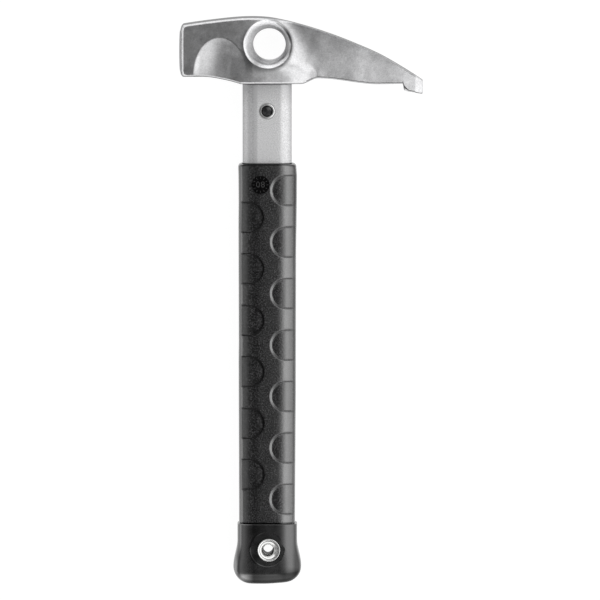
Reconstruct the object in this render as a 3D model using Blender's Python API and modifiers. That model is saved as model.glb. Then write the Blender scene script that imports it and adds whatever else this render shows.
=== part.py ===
# Piton hammer, lying on its side: a forged steel head with a tang, pinned into a flat-sided aluminium
# tube that wears a rubber grip and a rubber butt cap with a riveted lanyard eyelet.
# Metres, +Z up. The handle runs along Y with the head at +Y, the striking face looks to -X and the
# beak points to +X. The origin is on the floor, under the middle of the hammer's outline.

import math

import bmesh
import bpy
from mathutils import Matrix, Vector

MM = 0.001

# Clearance left between pieces that touch on the real hammer
FIT = 0.3 * MM

# Handle tube: a flat-sided oval section
TUBE_WIDTH = 25.0 * MM
TUBE_DEPTH = 18.0 * MM
TUBE_CORNER = 6.2 * MM
TUBE_WALL = 1.5 * MM

# Lengths down the handle, from the underside of the head to the butt
NECK_LENGTH = 40.8 * MM
GRIP_LENGTH = 183.0 * MM
SEAM_GAP = 0.6 * MM
CAP_LENGTH = 30.5 * MM

# Head: reaches are from the handle's centre line, heights are above the head's underside
FACE_REACH = 44.9 * MM
BEAK_REACH = 79.1 * MM
HEAD_HEIGHT = 34.3 * MM
HEAD_THICKNESS = 25.0 * MM
BLOCK_TOP = 30.5 * MM
BLOCK_BOTTOM = 3.9 * MM
CROWN_SETBACK = 9.0 * MM
CHEEK_CHAMFER = 1.3 * MM
BEAK_CHAMFER = 0.8 * MM

# Striking face: a flat centre, a low crown round it, a rounded edge and a bevel
FACE_BORDER = 4.5 * MM
FACE_CROWN = 0.4 * MM
FACE_EDGE_RADIUS = 0.9 * MM
FACE_BEVEL_LENGTH = 1.9 * MM
FACE_BEVEL_RISE = 0.9 * MM

# Underside of the head: the flat seat over the tube, and the curves that lead out of it
SEAT_BEHIND_TUBE = 0.7 * MM
SEAT_BEFORE_TUBE = 4.1 * MM
THROAT_LENGTH = 12.4 * MM
CHIN_LENGTH = 8.4 * MM
CHIN_RISE = 3.1 * MM

# Beak: thin behind a sloping shoulder, with a hooked prong and a chisel tip
SHOULDER_START = 9.0 * MM
SHOULDER_LENGTH = 18.0 * MM
BEAK_ROOT_THICKNESS = 8.4 * MM
BEAK_TIP_THICKNESS = 7.0 * MM
BEAK_BELLY_SETBACK = 23.5 * MM
BROW_REACH = 10.5 * MM
BROW_DROP = 2.2 * MM
BRIDGE_REACH = 45.2 * MM
BRIDGE_DROP = 13.9 * MM
TIP_TOP = 1.9 * MM
PRONG_LENGTH = 10.4 * MM
PRONG_ROOT_LENGTH = 2.0 * MM
PRONG_ROOT_DROP = 3.3 * MM
PRONG_DROP = 4.8 * MM
TIP_BEVEL_LENGTH = 3.4 * MM
TIP_BEVEL_DEPTH = 2.0 * MM

# Carabiner eye through the head
EYE_OFFSET = 1.0 * MM
EYE_HEIGHT = 20.4 * MM
EYE_BORE = 16.7 * MM
EYE_FLARE = 22.0 * MM
EYE_RIM_CHAMFER = 1.5 * MM
EYE_STRAIGHT = 5.0 * MM

# Scoops forged into both cheeks, each a dome that is sunk with its middle above the cheek
SCOOP_LAND = 7.3 * MM
SCOOP_WIDTH = 26.4 * MM
SCOOP_TOP = 24.5 * MM
SCOOP_BOTTOM = 3.0 * MM
SCOOP_DEPTH = 2.6 * MM
SCOOP_LIFT = 1.8 * MM

# Tang inside the tube, and the pin through both
TANG_LENGTH = 34.0 * MM
TANG_ROOT = 4.0 * MM
TANG_CHAMFER = 1.5 * MM
PIN_DROP = 13.4 * MM
PIN_DIAMETER = 6.0 * MM
PIN_RECESS = 1.0 * MM
PIN_CHAMFER = 0.5 * MM
NECK_SINK_DIAMETER = 8.2 * MM

# Rubber grip: walls over the tube, and the hollowed pads along its two edges
GRIP_SIDE_WALL_TOP = 1.85 * MM
GRIP_SIDE_WALL_BUTT = 1.35 * MM
GRIP_FACE_WALL = 2.2 * MM
GRIP_CORNER = 7.0 * MM
GRIP_EDGE_RADIUS = 1.2 * MM
PAD_COUNT_BEAK_SIDE = 7
PAD_COUNT_FACE_SIDE = 6
PAD_FIRST_BEAK_SIDE = 13.6 * MM
PAD_FIRST_FACE_SIDE = 27.3 * MM
PAD_PITCH = 26.25 * MM
PAD_RADIUS = 7.7 * MM
PAD_EDGE_INSET = 12.9 * MM
PAD_DEPTH = 0.6 * MM
DIAL_DROP = 10.9 * MM
DIAL_OFFSET = 3.4 * MM
DIAL_DIAMETER = 8.9 * MM
DIAL_DEPTH = 0.3 * MM

# Rubber butt cap: a short straight collar, a flare and a rounded end
CAP_SIDE_WALL = 2.1 * MM
CAP_FACE_WALL = 2.6 * MM
CAP_CORNER = 7.4 * MM
CAP_LIP_RADIUS = 0.8 * MM
CAP_COLLAR = 8.5 * MM
CAP_FLARE_WIDTH = 2.1 * MM
CAP_FLARE_DEPTH = 0.6 * MM
CAP_END_RADIUS = 9.0 * MM
CAP_END_RADIUS_DEPTH = 7.0 * MM
CAP_FLOOR = 5.7 * MM

# Lanyard eyelet and the nylon plug that it is riveted through
EYELET_DROP = 12.8 * MM
EYELET_BORE = 6.0 * MM
EYELET_WALL = 0.5 * MM
EYELET_FLANGE = 11.5 * MM
EYELET_FLANGE_THICKNESS = 0.6 * MM
EYELET_RIM_CHAMFER = 0.2 * MM
EYELET_FUNNEL_INSET = 0.7 * MM
EYELET_FUNNEL_DEPTH = 1.4 * MM
EYELET_LENGTH = 6.0 * MM
EYELET_SEAT_DIAMETER = 18.4 * MM
EYELET_SEAT_DEPTH = 0.4 * MM
PLUG_LENGTH = 24.0 * MM
PLUG_BORE = 5.9 * MM
PLUG_CHAMFER = 1.0 * MM

# Slopes of the head's outline where its curves meet, as rise over run
FACE_TOP_SLOPE = 0.14
BROW_SLOPE = -0.24
BRIDGE_SLOPE = -0.42
TIP_SLOPE = -0.65
THROAT_SLOPE = -0.45
BELLY_SLOPE = -0.06
PRONG_SLOPE = -0.5

# Smoothness of the round parts: steps in a quarter turn of a corner, and round small and large circles
CORNER_STEPS = 5
CIRCLE_STEPS = 32
EYE_STEPS = 48

# Worked out from the sizes above. The handle's frame has its origin on the tube's centre line, at the
# head's underside and halfway through the thickness.
HEAD_HALF = HEAD_THICKNESS / 2
TUBE_HALF_WIDTH = TUBE_WIDTH / 2
TUBE_HALF_DEPTH = TUBE_DEPTH / 2
SEAT_LEFT = -TUBE_HALF_WIDTH - SEAT_BEHIND_TUBE
SEAT_RIGHT = TUBE_HALF_WIDTH + SEAT_BEFORE_TUBE
THROAT_LEFT = SEAT_LEFT - THROAT_LENGTH
CHIN_RIGHT = SEAT_RIGHT + CHIN_LENGTH
SHOULDER_END = SHOULDER_START + SHOULDER_LENGTH
PRONG_START = BEAK_REACH - PRONG_LENGTH
GRIP_TOP = -NECK_LENGTH
GRIP_END = GRIP_TOP - GRIP_LENGTH
CAP_TOP = GRIP_END - SEAM_GAP
CAP_END = CAP_TOP - CAP_LENGTH
TUBE_TOP = -FIT
TUBE_END = CAP_END + CAP_FLOOR + FIT
CAP_HALF_WIDTH = TUBE_HALF_WIDTH + FIT + CAP_SIDE_WALL
CAP_HALF_DEPTH = TUBE_HALF_DEPTH + FIT + CAP_FACE_WALL
BELLY_HALF_WIDTH = CAP_HALF_WIDTH + CAP_FLARE_WIDTH
BELLY_HALF_DEPTH = CAP_HALF_DEPTH + CAP_FLARE_DEPTH
GRIP_HALF_DEPTH = TUBE_HALF_DEPTH + FIT + GRIP_FACE_WALL
EYELET_Y = CAP_TOP - EYELET_DROP
EYELET_SEAT = CAP_HALF_DEPTH - EYELET_SEAT_DEPTH
EYELET_OUTER_RADIUS = EYELET_BORE / 2 + EYELET_WALL
HALF_THICKNESS = max(HEAD_HALF, BELLY_HALF_DEPTH)
OVERALL_LENGTH = HEAD_HEIGHT - CAP_END
HANDLE_X = (FACE_REACH - BEAK_REACH) / 2
HEAD_BASE_Y = OVERALL_LENGTH / 2 - HEAD_HEIGHT
BEYOND = 5.0 * MM


def clear_scene():
    for obj in list(bpy.data.objects):
        bpy.data.objects.remove(obj, do_unlink=True)


def new_collection(name):
    collection = bpy.data.collections.new(name)
    bpy.context.scene.collection.children.link(collection)
    return collection


def make_material(name, colour, roughness, metallic):
    material = bpy.data.materials.new(name)
    material.use_nodes = True
    shader = material.node_tree.nodes["Principled BSDF"]
    shader.inputs["Base Color"].default_value = (*colour, 1.0)
    shader.inputs["Roughness"].default_value = roughness
    shader.inputs["Metallic"].default_value = metallic
    return material


def hermite(knots, x):
    """Height at x of a smooth line through knots of (x, height, slope)."""
    for (x0, y0, m0), (x1, y1, m1) in zip(knots, knots[1:]):
        if x <= x1:
            break
    span = x1 - x0
    t = min(max((x - x0) / span, 0.0), 1.0)
    return (
        (2 * t**3 - 3 * t**2 + 1) * y0
        + (t**3 - 2 * t**2 + t) * span * m0
        + (3 * t**2 - 2 * t**3) * y1
        + (t**3 - t**2) * span * m1
    )


def rounded_section(half_a, half_b, radius, steps=CORNER_STEPS):
    """Points round a rectangle with rounded corners, anticlockwise. One step gives a plain chamfer."""
    radius = min(radius, half_a, half_b)
    points = []
    for quarter in range(4):
        side_a = 1 if quarter in (0, 3) else -1
        side_b = 1 if quarter in (0, 1) else -1
        for step in range(steps + 1):
            angle = math.pi / 2 * (quarter + step / steps)
            points.append(
                (
                    side_a * (half_a - radius) + radius * math.cos(angle),
                    side_b * (half_b - radius) + radius * math.sin(angle),
                )
            )
    return points


def place(obj, collection, frame, material=None):
    obj.parent = frame
    collection.objects.link(obj)
    if material:
        obj.data.materials.append(material)
        obj.data.shade_smooth()
        obj.data.set_sharp_from_angle(angle=math.radians(28))
    else:
        obj.hide_render = True
        obj.display_type = "WIRE"
    return obj


def mesh_from(bm, name):
    mesh = bpy.data.meshes.new(name)
    bm.to_mesh(mesh)
    bm.free()
    return mesh


def loft(name, rings):
    """A closed skin through rings of equal point counts, capped at both ends."""
    bm = bmesh.new()
    loops = [[bm.verts.new(point) for point in ring] for ring in rings]
    for near, far in zip(loops, loops[1:]):
        for i in range(len(near)):
            j = (i + 1) % len(near)
            bm.faces.new((near[i], near[j], far[j], far[i]))
    bm.faces.new(loops[0])
    bm.faces.new(loops[-1])
    bmesh.ops.recalc_face_normals(bm, faces=bm.faces)
    return bpy.data.objects.new(name, mesh_from(bm, name))


def handle_ring(y, half_width, half_depth, radius):
    return [Vector((x, y, z)) for x, z in rounded_section(half_width, half_depth, radius)]


def turned(name, profile, steps=CIRCLE_STEPS):
    """A profile of (radius, height), outer side from top to bottom, turned about Z with a Screw."""
    bm = bmesh.new()
    verts = [bm.verts.new((radius, 0, height)) for radius, height in profile]
    for i in range(len(verts)):
        bm.edges.new((verts[i], verts[(i + 1) % len(verts)]))
    obj = bpy.data.objects.new(name, mesh_from(bm, name))
    screw = obj.modifiers.new("turn", "SCREW")
    screw.axis = "Z"
    screw.steps = steps
    screw.render_steps = steps
    screw.use_merge_vertices = True
    screw.merge_threshold = 0.00001
    return obj


def cylinder(name, radius, depth, vertices=CIRCLE_STEPS):
    """A cylinder primitive about Z, as an object of its own."""
    bm = bmesh.new()
    bmesh.ops.create_cone(
        bm, cap_ends=True, segments=vertices, radius1=radius, radius2=radius, depth=depth
    )
    return bpy.data.objects.new(name, mesh_from(bm, name))


def extruded(name, outlines, half_length):
    """Flat outlines filled and extruded along local Z, as a mesh. A second outline leaves a hole."""
    curve = bpy.data.curves.new(name, "CURVE")
    curve.dimensions = "2D"
    curve.fill_mode = "BOTH"
    curve.extrude = half_length
    for outline in outlines:
        spline = curve.splines.new("POLY")
        spline.points.add(len(outline) - 1)
        for point, (x, y) in zip(spline.points, outline):
            point.co = (x, y, 0, 1)
        spline.use_cyclic_u = True
    source = bpy.data.objects.new(f"{name}_outline", curve)
    bpy.context.scene.collection.objects.link(source)
    evaluated = source.evaluated_get(bpy.context.evaluated_depsgraph_get())
    mesh = bpy.data.meshes.new_from_object(evaluated)
    solid = bpy.data.objects.new(name, mesh)
    solid.matrix_world = source.matrix_world
    bpy.data.objects.remove(source, do_unlink=True)
    bpy.data.curves.remove(curve)
    bm = bmesh.new()
    bm.from_mesh(mesh)
    bmesh.ops.remove_doubles(bm, verts=bm.verts, dist=0.000001)
    bmesh.ops.recalc_face_normals(bm, faces=bm.faces)
    bm.to_mesh(mesh)
    bm.free()
    return solid


def combine(obj, other, operation):
    modifier = obj.modifiers.new(other.name, "BOOLEAN")
    modifier.operation = operation
    if isinstance(other, bpy.types.Collection):
        modifier.operand_type = "COLLECTION"
        modifier.collection = other
    else:
        modifier.object = other
    modifier.solver = "EXACT"


def head_top(x):
    return hermite(
        [
            (-FACE_REACH, BLOCK_TOP, FACE_TOP_SLOPE),
            (-CROWN_SETBACK, HEAD_HEIGHT, 0.0),
            (BROW_REACH, HEAD_HEIGHT - BROW_DROP, BROW_SLOPE),
            (BRIDGE_REACH, HEAD_HEIGHT - BRIDGE_DROP, BRIDGE_SLOPE),
            (BEAK_REACH, TIP_TOP, TIP_SLOPE),
        ],
        x,
    )


def head_bottom(x):
    belly = BEAK_REACH - BEAK_BELLY_SETBACK
    prong_root = PRONG_START + PRONG_ROOT_LENGTH
    return hermite(
        [
            (-FACE_REACH, BLOCK_BOTTOM, 0.0),
            (THROAT_LEFT, BLOCK_BOTTOM, 0.0),
            (SEAT_LEFT, 0.0, THROAT_SLOPE),
            (SEAT_LEFT + FIT, 0.0, 0.0),
            (SEAT_RIGHT, 0.0, 0.0),
            (CHIN_RIGHT, CHIN_RISE, 0.0),
            (belly, 0.0, BELLY_SLOPE),
            (PRONG_START, 0.0, 0.0),
            (prong_root, -PRONG_ROOT_DROP, PRONG_SLOPE),
            (BEAK_REACH, -PRONG_DROP, 0.0),
        ],
        x,
    )


def head_half(x):
    return hermite(
        [
            (-FACE_REACH, HEAD_HALF, 0.0),
            (SHOULDER_START, HEAD_HALF, 0.0),
            (SHOULDER_END, BEAK_ROOT_THICKNESS / 2, 0.0),
            (BEAK_REACH - TIP_BEVEL_LENGTH, BEAK_TIP_THICKNESS / 2, 0.0),
            (BEAK_REACH, BEAK_TIP_THICKNESS / 2 - TIP_BEVEL_DEPTH, -TIP_BEVEL_DEPTH / TIP_BEVEL_LENGTH),
        ],
        x,
    )


def spread(start, end, count):
    return [start + (end - start) * i / count for i in range(count)]


def head_ring(x, inset=0.0):
    low = head_bottom(x) + inset
    high = head_top(x) - inset
    chamfer = CHEEK_CHAMFER if x < SHOULDER_START else BEAK_CHAMFER
    section = rounded_section((high - low) / 2, head_half(x) - inset, chamfer, steps=1)
    return [Vector((x, (high + low) / 2 + y, z)) for y, z in section]


def head_body():
    """Sections from the striking face to the tip of the beak."""
    face = -FACE_REACH
    edge = face + FACE_CROWN
    bevel = edge + FACE_EDGE_RADIUS
    block = bevel + FACE_BEVEL_LENGTH
    mid_edge = (1 - math.cos(math.pi / 4)) * FACE_EDGE_RADIUS
    rings = [
        head_ring(face, FACE_BORDER),
        head_ring(edge, FACE_BEVEL_RISE + FACE_EDGE_RADIUS),
        head_ring(edge + mid_edge, FACE_BEVEL_RISE + mid_edge),
        head_ring(bevel, FACE_BEVEL_RISE),
    ]
    prong_root = PRONG_START + PRONG_ROOT_LENGTH
    tip_bevel = BEAK_REACH - TIP_BEVEL_LENGTH
    spans = (
        (block, THROAT_LEFT, 3),
        (THROAT_LEFT, SEAT_LEFT, 6),
        (SEAT_LEFT, -CROWN_SETBACK, 2),
        (-CROWN_SETBACK, SHOULDER_START, 5),
        (SHOULDER_START, CHIN_RIGHT, 9),
        (CHIN_RIGHT, SHOULDER_END, 2),
        (SHOULDER_END, PRONG_START, 8),
        (PRONG_START, prong_root, 4),
        (prong_root, tip_bevel, 2),
    )
    for start, end, count in spans:
        rings += [head_ring(x) for x in spread(start, end, count)]
    rings += [head_ring(tip_bevel), head_ring(BEAK_REACH)]
    return loft("hammer_head", rings)


def make_scoop_cutters(cutters, frame):
    """The scoop between the striking block and the eye, on both cheeks."""
    scoops = bpy.data.collections.new("scoop_cutters")
    cutters.children.link(scoops)
    height = SCOOP_LIFT + SCOOP_DEPTH
    spread_out = 1 / math.sqrt(1 - (SCOOP_LIFT / height) ** 2)
    size = (SCOOP_WIDTH / 2 * spread_out, (SCOOP_TOP - SCOOP_BOTTOM) * spread_out, height)
    for side in (1, -1):
        bm = bmesh.new()
        bmesh.ops.create_uvsphere(bm, u_segments=36, v_segments=18, radius=1)
        bmesh.ops.scale(bm, vec=size, verts=bm.verts)
        scoop = bpy.data.objects.new(f"scoop_cutter_{side}", mesh_from(bm, "scoop_cutter"))
        scoop.location = (
            -FACE_REACH + SCOOP_LAND + SCOOP_WIDTH / 2,
            SCOOP_BOTTOM,
            side * (HEAD_HALF + SCOOP_LIFT),
        )
        place(scoop, scoops, frame)
    return scoops


def make_head(parts, cutters, frame):
    steel = make_material("forged_steel", (0.56, 0.56, 0.57), 0.34, 1.0)
    head = place(head_body(), parts, frame, steel)

    tang_half_width = TUBE_HALF_WIDTH - TUBE_WALL - FIT
    tang_half_depth = TUBE_HALF_DEPTH - TUBE_WALL - FIT
    tang_corner = TUBE_CORNER - TUBE_WALL - FIT
    tang = loft(
        "tang",
        [
            handle_ring(TANG_ROOT, tang_half_width, tang_half_depth, tang_corner),
            handle_ring(TANG_CHAMFER - TANG_LENGTH, tang_half_width, tang_half_depth, tang_corner),
            handle_ring(
                -TANG_LENGTH,
                tang_half_width - TANG_CHAMFER,
                tang_half_depth - TANG_CHAMFER,
                tang_corner - TANG_CHAMFER,
            ),
        ],
    )
    place(tang, cutters, frame)

    flare_half = HEAD_HALF - EYE_RIM_CHAMFER
    flare_steps = 6
    profile = [(EYE_FLARE / 2 + EYE_RIM_CHAMFER + BEYOND, HEAD_HALF + BEYOND)]
    profile.append((EYE_FLARE / 2, flare_half))
    rise = flare_half - EYE_STRAIGHT / 2
    spread_out = (EYE_FLARE - EYE_BORE) / 2
    for step in range(1, flare_steps):
        angle = math.pi / 2 * step / flare_steps
        profile.append(
            (
                EYE_FLARE / 2 - spread_out * math.sin(angle),
                EYE_STRAIGHT / 2 + rise * (math.cos(angle)),
            )
        )
    profile.append((EYE_BORE / 2, EYE_STRAIGHT / 2))
    profile += [(radius, -height) for radius, height in reversed(profile)]
    profile += [(0.0, -HEAD_HALF - BEYOND), (0.0, HEAD_HALF + BEYOND)]
    eye = place(turned("eye_cutter", profile, EYE_STEPS), cutters, frame)
    eye.location = (EYE_OFFSET, EYE_HEIGHT, 0)

    pin_hole = cylinder("tang_pin_hole", PIN_DIAMETER / 2 + FIT, TUBE_DEPTH)
    place(pin_hole, cutters, frame).location = (0, -PIN_DROP, 0)

    combine(head, make_scoop_cutters(cutters, frame), "DIFFERENCE")
    combine(head, eye, "DIFFERENCE")
    combine(head, tang, "UNION")
    combine(head, pin_hole, "DIFFERENCE")
    return head


def make_tube(parts, cutters, frame):
    aluminium = make_material("satin_aluminium", (0.72, 0.72, 0.73), 0.38, 1.0)
    length = TUBE_TOP - TUBE_END
    outer = rounded_section(TUBE_HALF_WIDTH, TUBE_HALF_DEPTH, TUBE_CORNER)
    inner = rounded_section(
        TUBE_HALF_WIDTH - TUBE_WALL, TUBE_HALF_DEPTH - TUBE_WALL, TUBE_CORNER - TUBE_WALL
    )
    tube = place(extruded("handle_tube", [outer, inner], length / 2), parts, frame, aluminium)
    tube.rotation_euler = (math.pi / 2, 0, 0)
    tube.location = (0, (TUBE_TOP + TUBE_END) / 2, 0)

    hole = PIN_DIAMETER / 2 + FIT
    sink = NECK_SINK_DIAMETER / 2
    surface = TUBE_HALF_DEPTH
    profile = [
        (sink + BEYOND, surface + BEYOND),
        (hole, surface - (sink - hole)),
    ]
    profile += [(radius, -height) for radius, height in reversed(profile)]
    profile += [(0.0, -surface - BEYOND), (0.0, surface + BEYOND)]
    neck_hole = place(turned("neck_hole_cutter", profile), cutters, frame)
    neck_hole.location = (0, -PIN_DROP, 0)
    combine(tube, neck_hole, "DIFFERENCE")

    eyelet_hole = cylinder("tube_eyelet_hole", EYELET_OUTER_RADIUS + FIT, TUBE_DEPTH + BEYOND)
    place(eyelet_hole, cutters, frame).location = (0, EYELET_Y, 0)
    combine(tube, eyelet_hole, "DIFFERENCE")
    return tube


def make_head_pin(parts, frame):
    black_steel = make_material("blackened_steel", (0.03, 0.03, 0.032), 0.4, 0.9)
    radius = PIN_DIAMETER / 2
    half = TUBE_HALF_DEPTH - PIN_RECESS
    profile = [
        (radius - PIN_CHAMFER, half),
        (radius, half - PIN_CHAMFER),
        (radius, -half + PIN_CHAMFER),
        (radius - PIN_CHAMFER, -half),
        (0.0, -half),
        (0.0, half),
    ]
    pin = place(turned("head_pin", profile), parts, frame, black_steel)
    pin.location = (0, -PIN_DROP, 0)
    return pin


def grip_half_width(y):
    """The grip narrows steadily from its top to the butt."""
    share = (GRIP_TOP - y) / GRIP_LENGTH
    wall = GRIP_SIDE_WALL_TOP + (GRIP_SIDE_WALL_BUTT - GRIP_SIDE_WALL_TOP) * share
    return TUBE_HALF_WIDTH + FIT + wall


def grip_ring(y, inset):
    return handle_ring(
        y, grip_half_width(y) - inset, GRIP_HALF_DEPTH - inset, GRIP_CORNER - inset
    )


def grip_body():
    rings = []
    steps = 3
    radius = GRIP_EDGE_RADIUS
    for end, direction in ((GRIP_TOP, -1), (GRIP_END, 1)):
        rounded = []
        for step in range(steps + 1):
            angle = math.pi / 2 * step / steps
            rounded.append(
                grip_ring(
                    end + direction * radius * (1 - math.sin(angle)),
                    radius * (1 - math.cos(angle)),
                )
            )
        rings += rounded[::-1] if direction < 0 else rounded
    return rings


def pad_outline(radius, reach):
    """A half disc that bulges to -X, carried on as a straight strip to +X."""
    steps = 12
    points = []
    for step in range(steps + 1):
        angle = math.pi / 2 + math.pi * step / steps
        points.append((radius * math.cos(angle), radius * math.sin(angle)))
    return points + [(reach, -radius), (reach, radius)]


def make_grip(parts, cutters, frame):
    rubber = make_material("grip_rubber", (0.025, 0.025, 0.027), 0.62, 0.0)
    grip = loft("grip_sleeve", grip_body())
    place(grip, parts, frame, rubber)

    pads = bpy.data.collections.new("pad_cutters")
    cutters.children.link(pads)
    pad = extruded("pad_cutter", [pad_outline(PAD_RADIUS, PAD_EDGE_INSET)], GRIP_HALF_DEPTH + BEYOND)
    rows = (
        (1, PAD_COUNT_BEAK_SIDE, PAD_FIRST_BEAK_SIDE),
        (-1, PAD_COUNT_FACE_SIDE, PAD_FIRST_FACE_SIDE),
    )
    for side, count, first in rows:
        for i in range(count):
            y = GRIP_TOP - first - i * PAD_PITCH
            cutter = bpy.data.objects.new(f"pad_cutter_{side}_{i}", pad.data)
            cutter.location = (side * (grip_half_width(y) + PAD_RADIUS - PAD_EDGE_INSET), y, 0)
            cutter.rotation_euler = (0, 0 if side > 0 else math.pi, 0)
            place(cutter, pads, frame)
    bpy.data.objects.remove(pad, do_unlink=True)

    core_margin = 2 * GRIP_EDGE_RADIUS
    core_rings = [grip_ring(y, PAD_DEPTH) for y in (GRIP_TOP - core_margin, GRIP_END + core_margin)]
    core = place(loft("grip_core", core_rings), cutters, frame)

    tube_hole = rounded_section(TUBE_HALF_WIDTH + FIT, TUBE_HALF_DEPTH + FIT, TUBE_CORNER + FIT)
    bore = place(extruded("grip_bore", [tube_hole], GRIP_LENGTH / 2 + BEYOND), cutters, frame)
    bore.rotation_euler = (math.pi / 2, 0, 0)
    bore.location = (0, (GRIP_TOP + GRIP_END) / 2, 0)

    dial = place(cylinder("dial_cutter", DIAL_DIAMETER / 2, 2 * DIAL_DEPTH), cutters, frame)
    dial.location = (-DIAL_OFFSET, GRIP_TOP - DIAL_DROP, GRIP_HALF_DEPTH)

    combine(grip, pads, "DIFFERENCE")
    combine(grip, core, "UNION")
    combine(grip, bore, "DIFFERENCE")
    combine(grip, dial, "DIFFERENCE")
    return grip


def cap_half_width(drop):
    """Half width of the cap at a distance below its lip."""
    belly = CAP_LENGTH - CAP_END_RADIUS
    if drop <= belly:
        return hermite(
            [
                (0.0, CAP_HALF_WIDTH, 0.0),
                (CAP_COLLAR, CAP_HALF_WIDTH, 0.0),
                (belly, BELLY_HALF_WIDTH, 0.0),
            ],
            drop,
        )
    across = math.sqrt(max(CAP_END_RADIUS**2 - (drop - belly) ** 2, 0.0))
    return BELLY_HALF_WIDTH - CAP_END_RADIUS + across


def cap_half_depth(drop):
    """Half thickness of the cap at a distance below its lip."""
    belly = CAP_LENGTH - CAP_END_RADIUS_DEPTH
    flare = CAP_LENGTH - CAP_END_RADIUS
    if drop <= belly:
        return hermite(
            [
                (0.0, CAP_HALF_DEPTH, 0.0),
                (CAP_COLLAR, CAP_HALF_DEPTH, 0.0),
                (flare, BELLY_HALF_DEPTH, 0.0),
                (belly, BELLY_HALF_DEPTH, 0.0),
            ],
            drop,
        )
    across = math.sqrt(max(CAP_END_RADIUS_DEPTH**2 - (drop - belly) ** 2, 0.0))
    return BELLY_HALF_DEPTH - CAP_END_RADIUS_DEPTH + across


def make_cap(parts, cutters, frame):
    rubber = make_material("cap_rubber", (0.02, 0.02, 0.021), 0.45, 0.0)
    flare = CAP_LENGTH - CAP_END_RADIUS
    end_steps = 9
    rings = []
    for step in range(3):
        angle = math.pi / 2 * step / 2
        inset = CAP_LIP_RADIUS * (1 - math.sin(angle))
        drop = CAP_LIP_RADIUS * (1 - math.cos(angle))
        rings.append(
            handle_ring(
                CAP_TOP - drop, CAP_HALF_WIDTH - inset, CAP_HALF_DEPTH - inset, CAP_CORNER - inset
            )
        )
    drops = spread(CAP_COLLAR, flare, 6)
    for step in range(end_steps + 1):
        drops.append(flare + CAP_END_RADIUS * math.sin(math.pi / 2 * step / end_steps))
    for drop in drops:
        rings.append(
            handle_ring(CAP_TOP - drop, cap_half_width(drop), cap_half_depth(drop), CAP_CORNER)
        )
    cap = place(loft("end_cap", rings), parts, frame, rubber)

    pocket_end = CAP_END + CAP_FLOOR
    pocket_section = rounded_section(
        TUBE_HALF_WIDTH + FIT, TUBE_HALF_DEPTH + FIT, TUBE_CORNER + FIT
    )
    pocket_half = (CAP_TOP + BEYOND - pocket_end) / 2
    pocket = place(extruded("cap_pocket", [pocket_section], pocket_half), cutters, frame)
    pocket.rotation_euler = (math.pi / 2, 0, 0)
    pocket.location = (0, pocket_end + pocket_half, 0)
    combine(cap, pocket, "DIFFERENCE")

    hole = EYELET_OUTER_RADIUS + FIT
    funnel = EYELET_FLANGE / 2 - EYELET_WALL
    profile = [
        (EYELET_SEAT_DIAMETER / 2, EYELET_SEAT + BEYOND),
        (EYELET_SEAT_DIAMETER / 2, EYELET_SEAT),
        (funnel, EYELET_SEAT),
        (hole, EYELET_SEAT - EYELET_FUNNEL_DEPTH),
    ]
    profile += [(radius, -height) for radius, height in reversed(profile)]
    profile += [(0.0, -EYELET_SEAT - BEYOND), (0.0, EYELET_SEAT + BEYOND)]
    seat = place(turned("eyelet_seat_cutter", profile), cutters, frame)
    seat.location = (0, EYELET_Y, 0)
    combine(cap, seat, "DIFFERENCE")
    return cap


def make_plug(parts, cutters, frame):
    nylon = make_material("black_nylon", (0.015, 0.015, 0.016), 0.5, 0.0)
    half_width = TUBE_HALF_WIDTH - TUBE_WALL - FIT
    half_depth = TUBE_HALF_DEPTH - TUBE_WALL - FIT
    corner = TUBE_CORNER - TUBE_WALL - FIT
    top = TUBE_END + PLUG_LENGTH
    plug = loft(
        "tube_end_plug",
        [
            handle_ring(top, half_width - PLUG_CHAMFER, half_depth - PLUG_CHAMFER, corner - PLUG_CHAMFER),
            handle_ring(top - PLUG_CHAMFER, half_width, half_depth, corner),
            handle_ring(TUBE_END, half_width, half_depth, corner),
        ],
    )
    place(plug, parts, frame, nylon)

    barrel_end = EYELET_SEAT + FIT + EYELET_FLANGE_THICKNESS - EYELET_LENGTH - FIT
    hole = EYELET_OUTER_RADIUS + FIT
    profile = [
        (hole, TUBE_HALF_DEPTH + BEYOND),
        (hole, barrel_end),
        (PLUG_BORE / 2, barrel_end),
    ]
    profile += [(radius, -height) for radius, height in reversed(profile)]
    profile += [(0.0, -TUBE_HALF_DEPTH - BEYOND), (0.0, TUBE_HALF_DEPTH + BEYOND)]
    bore = place(turned("plug_bore_cutter", profile), cutters, frame)
    bore.location = (0, EYELET_Y, 0)
    combine(plug, bore, "DIFFERENCE")
    return plug


def make_eyelets(parts, frame):
    plated = make_material("nickel_plate", (0.78, 0.78, 0.77), 0.22, 1.0)
    bore = EYELET_BORE / 2
    outer = bore + EYELET_WALL
    flange = EYELET_FLANGE / 2
    rim = EYELET_FLANGE_THICKNESS
    # Heights are from the flange's top. The barrel runs down into the plug.
    profile = [
        (flange - EYELET_RIM_CHAMFER, 0.0),
        (flange, -rim / 2),
        (flange - EYELET_RIM_CHAMFER, -rim),
        (flange - EYELET_WALL - FIT, -rim),
        (outer, -EYELET_FUNNEL_DEPTH - EYELET_WALL),
        (outer, -EYELET_LENGTH),
        (bore, -EYELET_LENGTH),
        (bore, -EYELET_FUNNEL_DEPTH),
        (flange - EYELET_FUNNEL_INSET, 0.0),
    ]
    top = EYELET_SEAT + FIT + rim
    for name, side in (("eyelet_front", 1), ("eyelet_rear", -1)):
        eyelet = place(turned(name, profile), parts, frame, plated)
        eyelet.location = (0, EYELET_Y, side * top)
        eyelet.rotation_euler = (0 if side > 0 else math.pi, 0, 0)


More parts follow.
